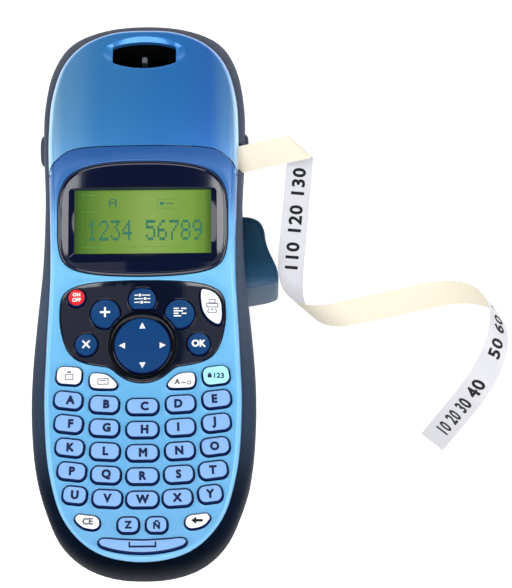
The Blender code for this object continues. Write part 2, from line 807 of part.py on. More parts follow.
def build_cassette():
    left, right, low, high = CASSETTE
    bottom, top = CASSETTE_Z
    middle = ((left + right) / 2, (low + high) / 2)
    loop = box_loop(*middle, right - left, high - low, 5.0)
    shell = prism("label_cassette", loop, bottom, top)
    x, y = REEL
    combine(shell, "DIFFERENCE", [
        prism("reel_pocket", circle(x, y, REEL_RADIUS + 0.6, 32), bottom + 1.6, top + 5),
    ])
    combine(shell, "UNION", [prism("reel_hub", circle(x, y, HUB_RADIUS, 16), bottom + 0.5, top - 1.5)])
    rim = circle(x, y, REEL_RADIUS, 32)
    bore = circle(x, y, HUB_RADIUS + GAP, 32)
    shape = Shape()
    rings = [
        shape.level(bore, bottom + 2.0),
        shape.level(rim, bottom + 2.0),
        shape.level(rim, bottom + 13.0),
        shape.level(bore, bottom + 13.0),
    ]
    shape.stack(rings)
    shape.bridge(rings[-1], rings[0])
    shape.make("tape_spool", (x, y, 0))


def build_batteries():
    """Four AA cells side by side as one solid, and their door."""
    top = []
    low = []
    for cell in (-1.5, -0.5, 0.5, 1.5):
        x = cell * CELL_PITCH
        for k in range(9):
            a = math.radians(170 - 20 * k)
            top.append((x + CELL_RADIUS * math.cos(a), CELL_Z + CELL_RADIUS * math.sin(a)))
            low.append((x + CELL_RADIUS * math.cos(a), CELL_Z - CELL_RADIUS * math.sin(a)))
    section = top + low[::-1]
    middle = (BAY[1] + BAY[2]) / 2
    shape = Shape()
    rings = []
    for y in (middle - CELL_LENGTH / 2, middle + CELL_LENGTH / 2):
        rings.append(shape.ring([(px, y, pz) for px, pz in section]))
    shape.stack(rings)
    shape.cap(rings[0])
    shape.cap(rings[1])
    shape.make("battery_pack")

    half, low_y, high_y = BAY
    loop = box_loop(0, (low_y + high_y) / 2, 2 * half - 2 * GAP, high_y - low_y - 2 * GAP, 0.6)
    shape = Shape()
    rings = [
        shape.level(inset(loop, 0.4), 0.25),
        shape.level(loop, 0.65),
        shape.level(loop, 1.8),
        shape.level(inset(loop, 0.4), 2.2),
    ]
    shape.stack(rings)
    shape.cap(rings[0])
    shape.cap(rings[-1])
    shape.make("battery_door", (0, low_y + 1.4, 1.2))


# --- Printed strip --------------------------------------------------------


def bent(q):
    """Where the flat strip's point q lies once the strip is bent."""
    tilt = Vector((0, math.sin(VIEW_TILT), math.cos(VIEW_TILT)))
    back = Vector((0, math.cos(VIEW_TILT), -math.sin(VIEW_TILT)))
    side = Vector((1, 0, 0))
    along = math.cos(STRIP_RISE) * side + math.sin(STRIP_RISE) * tilt
    across = math.cos(STRIP_RISE) * tilt - math.sin(STRIP_RISE) * side
    across = math.cos(STRIP_LEAN) * across - math.sin(STRIP_LEAN) * back
    base = Vector(STRIP_EXIT)
    spot = base + q.x * along + q.y * across
    for start, turn, radius, sweep in STRIP_BENDS:
        ahead = Vector((math.cos(turn), math.sin(turn)))
        left = Vector((-math.sin(turn), math.cos(turn)))
        far = (q - Vector((start, 0))).dot(ahead)
        if far <= 0:
            break
        normal = along.cross(across)
        size = abs(radius)
        hand = math.copysign(1, radius)
        forward = ahead.x * along + ahead.y * across
        axis = left.x * along + left.y * across
        foot = q - far * ahead
        angle = min(far / size, sweep)
        spot = base + foot.x * along + foot.y * across
        spot += size * math.sin(angle) * forward + hand * size * (1 - math.cos(angle)) * normal
        onward = math.cos(angle) * forward + hand * math.sin(angle) * normal
        spot += max(0.0, far - size * sweep) * onward
        if far < size * sweep:
            break
        end = base + start * along + size * math.sin(sweep) * forward
        end += hand * size * (1 - math.cos(sweep)) * normal
        flat = Vector((start, 0)) + size * sweep * ahead
        along = ahead.x * onward + left.x * axis
        across = ahead.y * onward + left.y * axis
        base = end - flat.x * along - flat.y * across
    return spot


def strip_sections(steps):
    """Places along the strip with the turn of the straight line across it."""
    found = []
    last, turn_then = 0.0, 0.0
    for start, turn, radius, sweep in STRIP_BENDS:
        length = abs(radius) * sweep / math.cos(turn)
        for k in range(steps):
            share = k / steps
            found.append((last + (start - last) * share, turn_then + (turn - turn_then) * share))
        arc = max(6, int(sweep * 4))
        for k in range(arc):
            found.append((start + length * k / arc, turn))
        last, turn_then = start + length, turn
    for k in range(steps + 1):
        share = k / steps
        found.append((last + (STRIP_LENGTH - last) * share, turn_then * (1 - share)))
    return found


def build_strip():
    half = STRIP_WIDTH / 2
    edges = []
    start = Vector(STRIP_START)
    outside = bent(Vector((0, half))) - bent(Vector((0, -half)))
    twist = math.atan2(-outside.y, outside.z)
    for x in (STRIP_START[0], 10, 14, STRIP_TWIST_FROM, 20, 22.5, 25, 27.5):
        share = max(0.0, (x - STRIP_TWIST_FROM) / (STRIP_EXIT[0] - STRIP_TWIST_FROM))
        share = share * share * (3 - 2 * share)
        middle = start.lerp(Vector(STRIP_EXIT), share)
        middle.x = x
        a = twist * share
        arm = Vector((0, -math.sin(a), math.cos(a))) * half
        edges.append((middle + arm, middle - arm))
    for place, turn in strip_sections(4):
        edges.append(tuple(bent(Vector((place - t * math.tan(turn), t))) for t in (half, -half)))
    shape = Shape()
    rings = []
    for i, (one, two) in enumerate(edges):
        before, after = edges[max(0, i - 1)], edges[min(len(edges) - 1, i + 1)]
        ahead = (after[0] + after[1]) - (before[0] + before[1])
        lift = ahead.cross(one - two).normalized() * STRIP_THICK / 2
        rings.append(shape.ring([one + lift, two + lift, two - lift, one - lift]))
    shape.stack(rings)
    shape.cap(rings[0])
    shape.cap(rings[-1])
    return shape.make("label_strip")


def main():
    clear_scene()
    shell_keys, panel_keys = key_openings()
    panel = mirrored(PANEL_OUTLINE, 48)
    bezel = build_display()
    build_rear_housing()
    build_front_shell(shell_keys, bezel, panel)
    build_cover()
    framed("key_panel", panel, list(panel_keys.values()), 0.2, PLATE)
    for keys in (shell_keys, panel_keys):
        for name, opening in keys.items():
            build_key(name, opening)
    build_board()
    build_lever()
    build_drive()
    build_cassette()
    build_batteries()
    build_strip()


main()
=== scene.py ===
"""Looks of the label maker: finishes, fine shapes, legends, light and camera.

Sizes are in millimetres in the object's frame, and the meshes are made in metres.
+X is the cutter lever's side, +Y the head end and +Z out of the front face.
"""

import math

import bmesh
import bpy
from mathutils import Matrix, Vector
from mathutils.geometry import delaunay_2d_cdt


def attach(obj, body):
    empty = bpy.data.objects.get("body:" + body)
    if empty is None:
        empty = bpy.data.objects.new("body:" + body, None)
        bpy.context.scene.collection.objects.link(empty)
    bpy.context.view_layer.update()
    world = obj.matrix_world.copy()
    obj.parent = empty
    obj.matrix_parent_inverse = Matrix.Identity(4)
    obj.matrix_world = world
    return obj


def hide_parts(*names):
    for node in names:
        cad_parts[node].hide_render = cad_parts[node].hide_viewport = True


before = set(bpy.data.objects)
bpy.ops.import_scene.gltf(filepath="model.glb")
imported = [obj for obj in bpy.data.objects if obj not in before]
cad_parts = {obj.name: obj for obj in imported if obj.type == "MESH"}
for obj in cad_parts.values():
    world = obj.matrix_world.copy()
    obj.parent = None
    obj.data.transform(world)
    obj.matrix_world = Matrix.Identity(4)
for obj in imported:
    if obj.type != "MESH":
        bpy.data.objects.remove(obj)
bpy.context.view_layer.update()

MM = 0.001

# --- The body's outlines and heights, as in the part ---

FACE_SLOPE = 0.105
FACE_BEND_Y = 5.0
FACE_BEND_Z = 45.2
FACE_RADIUS = 196.0
FACE_CROWN = 0.0015
# The gap between cover, front shell and housing, the front shell's thickness, and the
# number of points in an outline.
GAP = 0.3
PLATE = 1.8
RING = 176

# Right halves of the outlines seen from the front, from the head to the tail.
RIM_OUTLINE = (
    (0, 93.3), (11, 92.3), (20.4, 87.6), (26.5, 79.7), (29.9, 67), (30.7, 52),
    (29.9, 28), (29.5, 5), (30.6, -20), (31.1, -40), (29.2, -60.5),
    (24.2, -75.5), (14.6, -84.8), (0, -88),
)
WAIST_OUTLINE = (
    (0, 99), (14.5, 97), (24.6, 91.4), (30.1, 81.2), (32.6, 66), (32.7, 52),
    (31.8, 32), (32.3, 10), (34, -8), (35.4, -25), (35.6, -40), (34.2, -56),
    (31.2, -68.2), (26.2, -79.2), (18.6, -86.2), (10, -89.4), (0, -90.3),
)
BEZEL_OUTLINE = (
    (0, 41.1), (8.5, 40.9), (14.5, 40.2), (19.3, 39), (22.4, 37.3), (24.8, 34.8),
    (26.2, 31.8), (26.9, 28), (27, 21), (26.9, 14.5), (26.2, 10), (24.9, 7.1),
    (22.2, 5), (18.2, 3.7), (12.5, 2.8), (6, 2.35), (0, 2.2),
)
PANEL_OUTLINE = (
    (0, 0.8), (11, 0.6), (18, 0), (22, -1.1), (24.4, -2.6), (25.7, -4.8), (26.1, -8),
    (26.1, -12), (25.3, -16.8), (24.1, -20.3), (22.7, -22.6), (20.4, -24.5), (17.3, -25.7),
    (13.4, -26.5), (10.8, -27), (9.2, -28), (7.4, -29.5), (4.1, -31.4), (0, -32.1),
)
# The seam between cover and front shell, from the left side to the centre line.
SEAM = (
    (-40, 36.2), (-30.9, 37.2), (-30.3, 38), (-29.4, 39.7), (-28.6, 41), (-27.8, 42.1),
    (-27, 43), (-26.2, 43.8), (-25.2, 44.6), (-23.2, 45.6), (-20.4, 46.25), (-17, 46.55),
    (-10.7, 46.75), (0, 46.8),
)
# The display's window: half its width, its low and its high edge; and how far the
# display's middle lies below the face.
WINDOW = (21.8, 9.8, 31.6)
LCD_DROP = 1.9
NAV_CENTRE = (0.0, -20.4)
NAV_RADIUS = 9.2
# The keys beside the navigation pad keep outside this radius.
NAV_RING = 11.5
# The finger well's mouth: its x, y, half width and half height. Its floor: half width, y,
# and share of the mouth's height.
FINGER_OVAL = (0.0, 83.0, 13.3, 6.5)
FINGER_WELL = (10.4, 82.45, 0.84)
# The cover's hinge line: its y and z.
COVER_AXIS = (38.6, 42.6)
LEVER_PIVOT = (26.8, 25.0, 0)
LEVER_Z = (11.5, 31.0)
LEVER_OUTLINE = (
    (25, 3.2), (25, 28), (31, 28), (34.6, 27.6), (37.2, 26.2), (38.6, 23.6),
    (39.2, 19.5), (40.3, 15.8), (41.7, 12.6), (43, 8.9), (42.9, 5.9),
    (41.2, 4.9), (36, 3.7), (32, 3.2),
)
# How far the housing's widest line lies below its rim.
WAIST_DROP = 8.2

# The printed strip. It starts upright inside the case and twists to its slant between
# STRIP_TWIST_FROM, an x, and STRIP_EXIT. Its length and its bends are from there on. A bend
# is its place along the strip, the turn of its axis from square across, its radius
# (negative bends back) and its sweep.
STRIP_WIDTH = 9.0
STRIP_HALF_THICK = 0.08
STRIP_START = (4.0, 45.15, 37.6)
STRIP_TWIST_FROM = 17.5
STRIP_EXIT = (30.0, 44.9, 36.5)
STRIP_RISE = 0.205
STRIP_LEAN = 0.34
STRIP_BENDS = (
    (19.04, 0.6136, -1.5, 3.496),
    (61.59, 0.6095, -9.8, 2.757),
    (122.82, 0.43, 15.0, 3.94),
)
STRIP_LENGTH = 215.7

# The camera looks down at the front face, and the strip's curl is set square to it.
VIEW_TILT = math.radians(70)
VIEW_RIGHT = Vector((1, 0, 0))
VIEW_UP = Vector((0, math.sin(VIEW_TILT), math.cos(VIEW_TILT)))
VIEW_AHEAD = Vector((0, math.cos(VIEW_TILT), -math.sin(VIEW_TILT)))


def blend(low, high, share):
    return low + (high - low) * max(0.0, min(1.0, share))


def centre_z(y):
    t = y - FACE_BEND_Y
    if t < 0:
        return FACE_BEND_Z + FACE_SLOPE * t
    return FACE_BEND_Z + FACE_SLOPE * t - t * t / (2 * FACE_RADIUS)


def face_z(x, y):
    return centre_z(y) - FACE_CROWN * x * x


def raised(surface, rise):
    """The surface moved up; a surface is a height by x and y."""
    return lambda x, y: surface(x, y) + rise


face_under = raised(face_z, -PLATE)


def rim_z(y):
    """The height of the split between the shells, which drops most at the head."""
    if y > 0:
        drop = blend(5.5, 6.0, (y - 50) / 30)
    elif y > -67:
        drop = blend(5.5, 3.5, (-45 - y) / 22)
    else:
        drop = blend(3.5, 2.3, (-67 - y) / 21)
    return centre_z(y) - drop


def edge_in(y):
    """How far the front face's rounded edge reaches in from the rim."""
    if y > 0:
        return blend(2.1, 2.5, (y - 70) / 20)
    if y > -70:
        return blend(2.1, 1.3, (-55 - y) / 15)
    return blend(1.3, 1.0, (-70 - y) / 18)


def tail_in(y):
    """0 on most of the body, rising to 1 at the tail, where the back is drawn in."""
    return blend(0, 1, (-58 - y) / 30)


# --- Plan loops ---


def mix(p, q, start, end, u):
    """The point between p and q, which stand at start and end, for a place u."""
    return p * (end - u) / (end - start) + q * (u - start) / (end - start)


def spline(points, steps):
    """A closed centripetal Catmull-Rom curve through the points."""
    found = []
    count = len(points)
    for i in range(count):
        p = [Vector(points[(i + k - 1) % count]) for k in range(4)]
        t = [0.0]
        for a, b in zip(p, p[1:]):
            t.append(t[-1] + math.sqrt((b - a).length))
        for k in range(steps):
            u = t[1] + (t[2] - t[1]) * k / steps
            near = [mix(p[i], p[i + 1], t[i], t[i + 1], u) for i in range(3)]
            wide = [mix(near[i], near[i + 1], t[i], t[i + 2], u) for i in range(2)]
            found.append(mix(*wide, t[1], t[2], u))
    return found


def resample(loop, count):
    """The closed loop as count points, evenly spaced from its first one."""
    ends = loop[1:] + loop[:1]
    total = sum((b - a).length for a, b in zip(loop, ends))
    found = []
    done = 0.0
    for a, b in zip(loop, ends):
        length = (b - a).length
        while len(found) < count and len(found) * total / count <= done + length + 1e-9:
            share = (len(found) * total / count - done) / length
            found.append(a.lerp(b, share))
        done += length
    return found


def rounded(points, count=40, steps=12):
    return resample(spline(points, steps), count)


def flipped(points):
    """The outline in mirror image, still in the same turning sense."""
    return [(-x, y) for x, y in reversed(points)]


def mirrored(half, count):
    return rounded(list(half) + flipped(half[1:-1]), count, 24)


def area(loop):
    return sum(a.x * b.y - b.x * a.y for a, b in zip(loop, loop[1:] + loop[:1])) / 2


def centre(points):
    return sum(points, Vector((0, 0))) / len(points)


def inset(loop, depth):
    """The loop moved inwards; depth is a number or a function of y."""
    count = len(loop)
    hand = -1 if area(loop) > 0 else 1
    found = []
    for i, p in enumerate(loop):
        along = loop[(i + 1) % count] - loop[i - 1]
        inward = Vector((along.y, -along.x)).normalized() * hand
        found.append(p + inward * (depth(p.y) if callable(depth) else depth))
    return found


def winding(loop, x, y):
    """How often the loop goes round the spot, with its turning sense as the sign."""
    turns = 0
    for a, b in zip(loop, loop[1:] + loop[:1]):
        if (a.y > y) != (b.y > y) and x < (b.x - a.x) * (y - a.y) / (b.y - a.y) + a.x:
            turns += 1 if b.y > a.y else -1
    return turns


def edges_of(loops):
    """The loops' edges, as index pairs into their points put end to end."""
    edges = []
    for loop in loops:
        start = len(edges)
        edges += [(start + i, start + (i + 1) % len(loop)) for i in range(len(loop))]
    return edges


def circle(x, y, radius, count):
    turns = [2 * math.pi / count * i for i in range(count)]
    return [Vector((x + radius * math.sin(a), y + radius * math.cos(a))) for a in turns]


def ellipse(x, y, rx, ry, count):
    return [Vector((x + p.x * rx, y + p.y * ry)) for p in circle(0, 0, 1, count)]


def box_loop(x, y, width, height, radius, turn=0.0, steps=4):
    """A rectangle with rounded corners, turned about its centre."""
    found = []
    cos, sin = math.cos(turn), math.sin(turn)
    for corner in range(4):
        cx = (width / 2 - radius) * (1 if corner in (0, 1) else -1)
        cy = (height / 2 - radius) * (1 if corner in (0, 3) else -1)
        for k in range(steps):
            a = math.pi / 2 * (1 - corner - k / (steps - 1))
            px, py = cx + radius * math.cos(a), cy + radius * math.sin(a)
            found.append(Vector((x + px * cos - py * sin, y + px * sin + py * cos)))
    return found


def clear_of_ring(loop):
    """The loop with what would lie in the navigation pad's ring moved out to it."""
    hub = Vector(NAV_CENTRE)
    return [hub + (p - hub) * max(1.0, NAV_RING / (p - hub).length) for p in loop]


def quarter(steps):
    """Pairs of 1 - sin and 1 - cos along a quarter turn, for rounded edges."""
    angles = [math.pi / 2 * k / steps for k in range(steps + 1)]
    return [(1 - math.sin(a), 1 - math.cos(a)) for a in angles]


# --- Mesh building ---


def add_object(name, data):
    obj = bpy.data.objects.new(name, data)
    bpy.context.scene.collection.objects.link(obj)
    return obj


def applied_mesh(obj):
    """The object's mesh with its modifiers or its text applied."""
    bpy.context.view_layer.update()
    graph = bpy.context.evaluated_depsgraph_get()
    return bpy.data.meshes.new_from_object(obj.evaluated_get(graph))


def smooth(mesh, sharp=35):
    mesh.shade_smooth()
    mesh.set_sharp_from_angle(angle=math.radians(sharp))


def region_of(loops):
    """A test for spots inside the first loop and outside the others."""
    bounded = []
    for loop in loops:
        xs, ys = [p.x for p in loop], [p.y for p in loop]
        bounded.append((loop, min(xs), max(xs), min(ys), max(ys)))

    def holds(spot, x, y):
        loop, left, right, low, high = spot
        return left < x < right and low < y < high and winding(loop, x, y) != 0

    def free(x, y):
        return holds(bounded[0], x, y) and not any(holds(spot, x, y) for spot in bounded[1:])

    return free


class Shape:
    """Gathers points, faces and their material numbers in millimetres."""

    def __init__(self):
        self.points = []
        self.faces = []
        self.paint = []
        self.brush = 0

    def ring(self, points):
        start = len(self.points)
        self.points += [Vector(p) for p in points]
        return list(range(start, len(self.points)))

    def level(self, loop, height):
        """A ring over a plan loop; height is a number or a surface."""
        z = height if callable(height) else (lambda x, y: height)
        return self.ring([(p.x, p.y, z(p.x, p.y)) for p in loop])

    def face(self, corners):
        self.faces.append(tuple(corners))
        self.paint.append(self.brush)

    def bridge(self, first, second):
        for i in range(len(first)):
            self.face((first[i - 1], first[i], second[i], second[i - 1]))

    def stack(self, rings, closed=False):
        """Walls between rings; closed adds a face on the first and the last."""
        for first, second in zip(rings, rings[1:]):
            self.bridge(first, second)
        if closed:
            self.face(rings[0])
            self.face(rings[-1])

    def dome(self, ring, loop, height, rise):
        """Closes a plan loop's ring with a low dome of rings and a centre point."""
        steps = 4
        middle = centre(loop)
        for k in range(1, steps):
            share = 1 - k / steps
            lift = rise * (1 - share * share)
            new = self.level([middle + (p - middle) * share for p in loop], raised(height, lift))
            self.bridge(ring, new)
            ring = new
        tip = self.level([middle], raised(height, rise))[0]
        for i in range(len(loop)):
            self.face((ring[i - 1], ring[i], tip))

    def sheet(self, outer, holes, height, spacing):
        """Fills between rings with triangles that follow a surface."""
        rings = [outer] + list(holes)
        loops = [[self.points[i].xy for i in ring] for ring in rings]
        index = [i for ring in rings for i in ring]
        spots = [p for loop in loops for p in loop]
        edges = edges_of(loops)
        free = region_of(loops)
        cells = {}
        for p in spots:
            cells.setdefault((int(p.x // spacing), int(p.y // spacing)), []).append(p)
        low_x, high_x = min(p.x for p in loops[0]), max(p.x for p in loops[0])
        low_y, high_y = min(p.y for p in loops[0]), max(p.y for p in loops[0])
        # Rows of points in a triangle pattern, kept clear of the rings.
        row_pack = 1.15
        for i in range(int((high_x - low_x) / spacing) + 1):
            for j in range(int((high_y - low_y) / spacing * row_pack) + 1):
                x = low_x + (i + 0.5 + 0.5 * (j % 2)) * spacing
                y = low_y + (j + 0.5) * spacing / row_pack
                if not free(x, y):
                    continue
                p = Vector((x, y))
                cx, cy = int(x // spacing), int(y // spacing)
                around = [(cx + dx, cy + dy) for dx in (-1, 0, 1) for dy in (-1, 0, 1)]
                if any((p - q).length < 0.5 * spacing for cell in around for q in cells.get(cell, ())):
                    continue
                index += self.ring([(x, y, height(x, y))])
                spots.append(p)
        verts, _, faces, sources, _, _ = delaunay_2d_cdt(spots, edges, [], 0, 1e-7)
        for face in faces:
            middle = centre([verts[i] for i in face])
            if free(middle.x, middle.y):
                self.face([index[sources[i][0]] for i in face])

    def make(self, name, materials, origin=(0, 0, 0), sharp=35):
        origin = Vector(origin)
        mesh = bpy.data.meshes.new(name)
        mesh.from_pydata([(p - origin) * MM for p in self.points], [], self.faces)
        mesh.polygons.foreach_set("material_index", self.paint)
        for material in materials:
            mesh.materials.append(material)
        work = bmesh.new()
        work.from_mesh(mesh)
        bmesh.ops.recalc_face_normals(work, faces=work.faces)
        work.to_mesh(mesh)
        work.free()
        smooth(mesh, sharp)
        obj = add_object(name, mesh)
        obj.location = origin * MM
        return obj


def prism(name, loop, z):
    """An upright prism between two heights."""
    shape = Shape()
    shape.stack([shape.level(loop, height) for height in z], True)
    return shape.make(name, ())


def block(name, x, y, z):
    """A box between two x, two y and two z."""
    return prism(name, [Vector((x[i], y[j])) for i, j in ((0, 0), (0, 1), (1, 1), (1, 0))], z)


def rounded_rings(shape, loop, z, foot, crown):
    """Rings of an upright solid; foot and crown are its edges' (steps, reach in, rise)."""
    rings = []
    steps, reach, rise = foot
    for out, down in quarter(steps):
        rings.append(shape.level(inset(loop, reach * out), z[0] + rise * down))
    steps, reach, rise = crown
    for out, down in reversed(quarter(steps)):
        rings.append(shape.level(inset(loop, reach * out), z[1] - rise * down))
    return rings


def rod_x(name, x, centre_line, radius, materials=()):
    """A round rod along X between two x; centre_line is its y and z."""
    shape = Shape()
    ends = circle(*centre_line, radius, 32)
    shape.stack([shape.ring([(end, p.x, p.y) for p in ends]) for end in x], True)
    return shape.make(name, materials)


def carve(target, tools):
    """Cuts the tools out of the target with exact Booleans, and removes them."""
    for tool in tools:
        modifier = target.modifiers.new(tool.name, "BOOLEAN")
        modifier.operation = "DIFFERENCE"
        modifier.object = tool
        modifier.solver = "EXACT"
    mesh = applied_mesh(target)
    target.modifiers.clear()
    old = target.data
    target.data = mesh
    bpy.data.meshes.remove(old)
    smooth(mesh)
    for tool in tools:
        bpy.data.objects.remove(tool, do_unlink=True)


# --- Flat prints: points and faces, laid on a surface by add_print ---


def outlines_of(points, faces):
    """The closed edge loops of flat faces, with the inside on their left."""
    after = {}
    for face in faces:
        if area([points[i] for i in face]) < 0:
            face = face[::-1]
        for a, b in zip(face, face[1:] + face[:1]):
            after.setdefault(a, []).append(b)
    for a in list(after):
        for b in list(after[a]):
            if a in after.get(b, []):
                after[a].remove(b)
                after[b].remove(a)
    loops = []
    while any(after.values()):
        start = next(a for a, ends in after.items() if ends)
        loop = [start]
        spot = after[start].pop()
        while spot != start:
            loop.append(spot)
            spot = after[spot].pop()
        loops.append([points[i] for i in loop])
    return loops


def bold(points, faces, width):
    """The flat shape with its outlines moved outwards, which widens its strokes."""
    loops = []
    for loop in outlines_of(points, faces):
        grown = []
        for i, p in enumerate(loop):
            before = (p - loop[i - 1]).normalized()
            after = (loop[(i + 1) % len(loop)] - p).normalized()
            first = Vector((before.y, -before.x))
            second = Vector((after.y, -after.x))
            share = 1 + first.dot(second)
            if share > 0.6:
                grown.append(p + (first + second) * (width / share))
            else:
                grown += [p + first * width, p + second * width]
        loops.append(grown)
    spots = [p for loop in loops for p in loop]
    verts, _, cells, _, _, _ = delaunay_2d_cdt(spots, edges_of(loops), [], 0, 1e-5)
    kept = []
    for cell in cells:
        middle = centre([verts[i] for i in cell])
        if sum(winding(loop, middle.x, middle.y) for loop in loops) > 0:
            kept.append(list(cell))
    return [Vector(v) for v in verts], kept


def text_print(words, size, weight, spacing=1.0):
    """Words centred on the origin, with their strokes made bolder by weight."""
    curve = bpy.data.curves.new("words", "FONT")
    curve.body = words
    curve.size = size
    curve.align_x = "CENTER"
    curve.align_y = "CENTER"
    curve.space_character = spacing
    curve.resolution_u = 3
    obj = add_object("words", curve)
    mesh = applied_mesh(obj)
    work = bmesh.new()
    work.from_mesh(mesh)
    bmesh.ops.remove_doubles(work, verts=work.verts, dist=1e-5)
    bmesh.ops.triangulate(work, faces=work.faces)
    work.verts.index_update()
    xs, ys = [v.co.x for v in work.verts], [v.co.y for v in work.verts]
    x, y = (min(xs) + max(xs)) / 2, (min(ys) + max(ys)) / 2
    points = [Vector((v.co.x - x, v.co.y - y)) for v in work.verts]
    faces = [[v.index for v in f.verts] for f in work.faces]
    work.free()
    bpy.data.objects.remove(obj, do_unlink=True)
    bpy.data.curves.remove(curve)
    bpy.data.meshes.remove(mesh)
    return bold(points, faces, weight)


def polygon(points):
    points = [Vector(p) for p in points]
    _, _, faces, _, _, _ = delaunay_2d_cdt(points, edges_of([points]), [], 1, 1e-7)
    return points, [list(f) for f in faces]


def stroke(a, b, width):
    """A bar from a to b."""
    a, b = Vector(a), Vector(b)
    along = (b - a).normalized()
    side = Vector((-along.y, along.x)) * width / 2
    return [a + side, a - side, b - side, b + side], [[0, 1, 2, 3]]


def cross_print(reach, half):
    """An upright cross; half is half its arms' width."""
    corners = []
    for k in range(4):
        a = math.pi / 2 * k
        cos, sin = math.cos(a), math.sin(a)
        for x, y in ((reach, -half), (reach, half), (half, half)):
            corners.append((x * cos - y * sin, x * sin + y * cos))
    return polygon(corners)


def frame_print(x, y, width, height, line):
    """The four bars of a rectangle's outline."""
    w, h, half = width / 2, height / 2, line / 2
    found = [stroke((x - w - half, y + s * h), (x + w + half, y + s * h), line) for s in (1, -1)]
    found += [stroke((x + s * w, y - h + half), (x + s * w, y + h - half), line) for s in (-1, 1)]
    return found


def ring_print(x, y, outer, inner):
    count = 20
    faces = [[i, (i + 1) % count, count + (i + 1) % count, count + i] for i in range(count)]
    return circle(x, y, outer, count) + circle(x, y, inner, count), faces


def turned(flat, angle):
    points, faces = flat
    cos, sin = math.cos(angle), math.sin(angle)
    return [Vector((p.x * cos - p.y * sin, p.x * sin + p.y * cos)) for p in points], faces


def moved(flat, dx, dy):
    points, faces = flat
    return [Vector((p.x + dx, p.y + dy)) for p in points], faces


def add_print(shape, flat, place, low=-0.06):
    """Adds a flat print as a thin closed slab; place maps a point and a lift to space."""
    high = 0.02
    points, faces = flat
    used = sorted({i for face in faces for i in face})
    number = {i: k for k, i in enumerate(used)}
    faces = [[number[i] for i in face] for face in faces]
    top = shape.ring([place(points[i], high) for i in used])
    bottom = shape.ring([place(points[i], low) for i in used])
    sides = {}
    for face in faces:
        shape.face([top[i] for i in face])
        shape.face([bottom[i] for i in reversed(face)])
        for a, b in zip(face, face[1:] + face[:1]):
            if (b, a) in sides:
                del sides[(b, a)]
            else:
                sides[(a, b)] = True
    for a, b in sides:
        shape.face((top[b], top[a], bottom[a], bottom[b]))


# --- Materials ---

BROAD_GRAIN = 28.0
BUMP_HEIGHT = 0.0001


def linear(colour):
    """A screen colour, 0 to 255, as linear light."""
    found = []
    for c in colour:
        c /= 255
        found.append(c / 12.92 if c <= 0.04045 else ((c + 0.055) / 1.055) ** 2.4)
    return tuple(found)


def add_node(tree, kind, inputs=(), **settings):
    """A new shader node with some of its settings and sockets filled in."""
    made = tree.nodes.new("ShaderNode" + kind)
    for key, value in settings.items():
        setattr(made, key, value)
    for key, value in dict(inputs).items():
        made.inputs[key].default_value = value
    return made


def maths(tree, operation, first, second):
    """A Math node on two values, each a socket or a number."""
    made = add_node(tree, "Math", operation=operation)
    for socket, value in zip(made.inputs, (first, second)):
        if isinstance(value, float):
            socket.default_value = value
        else:
            tree.links.new(value, socket)
    return made.outputs["Value"]


def noise(tree, place, scale, detail):
    made = add_node(tree, "TexNoise", {"Scale": scale, "Detail": detail})
    tree.links.new(place, made.inputs["Vector"])
    return made.outputs["Fac"]


def colour_ramp(tree, value, stops, interpolation="LINEAR"):
    """Blends colours by a value; stops are (share from 0 to 1, linear colour)."""
    made = add_node(tree, "ValToRGB")
    ramp = made.color_ramp
    ramp.interpolation = interpolation
    for k, (share, colour) in enumerate(stops):
        stop = ramp.elements[k] if k < 2 else ramp.elements.new(share)
        stop.position = share
        stop.color = (*colour, 1)
    tree.links.new(value, made.inputs["Fac"])
    return made.outputs["Color"]


def material(name, colour=None, ramp=None, rough=0.45, metallic=0.0, coat=0.0, coat_rough=0.06,
             specular=0.5, mottle=0.04, grain=900.0, bump=0.05, spread=0.08):
    """A moulded finish: colour that varies a little, and fine texture in bump and roughness.

    ramp is (axis, ((place, colour), ...)), which blends colours along an axis of the piece,
    with places in millimetres from its origin; several finishes use it for painted shading and highlights.
    mottle is how much the colour varies, grain how fine the texture is, and spread how much
    the roughness varies.
    """
    made = bpy.data.materials.new(name)
    made.use_nodes = True
    tree = made.node_tree
    link = tree.links.new
    shader = tree.nodes["Principled BSDF"]
    shader.inputs["Metallic"].default_value = metallic
    shader.inputs["Coat Weight"].default_value = coat
    shader.inputs["Coat Roughness"].default_value = coat_rough
    shader.inputs["Specular IOR Level"].default_value = specular
    place = add_node(tree, "TexCoord").outputs["Object"]
    fine = noise(tree, place, grain, 3.0)
    broad = noise(tree, place, BROAD_GRAIN, 2.0)

    vary = add_node(tree, "Mix", {"Factor": 1.0}, data_type="RGBA", blend_type="MULTIPLY")
    first, second = vary.inputs[6], vary.inputs[7]
    if ramp:
        axis, stops = ramp
        split = add_node(tree, "SeparateXYZ")
        link(place, split.inputs["Vector"])
        start, reach = stops[0][0], stops[-1][0] - stops[0][0]
        span = add_node(tree, "MapRange", {"From Min": start * MM, "From Max": stops[-1][0] * MM})
        link(split.outputs[axis], span.inputs["Value"])
        shares = [((where - start) / reach, linear(shade)) for where, shade in stops]
        link(colour_ramp(tree, span.outputs["Result"], shares, "EASE"), first)
    else:
        first.default_value = (*linear(colour), 1)
    texture = maths(tree, "MULTIPLY", maths(tree, "ADD", fine, broad), 0.5)
    link(colour_ramp(tree, texture, ((0.3, [1 - mottle] * 3), (0.7, (1, 1, 1)))), second)
    link(vary.outputs[2], shader.inputs["Base Color"])

    limits = {"To Min": max(0.02, rough - spread), "To Max": min(1.0, rough + spread)}
    gloss = add_node(tree, "MapRange", limits)
    link(fine, gloss.inputs["Value"])
    link(gloss.outputs["Result"], shader.inputs["Roughness"])
    if bump:
        relief = add_node(tree, "Bump", {"Strength": bump, "Distance": BUMP_HEIGHT})
        link(fine, relief.inputs["Height"])
        link(relief.outputs["Normal"], shader.inputs["Normal"])
    return made
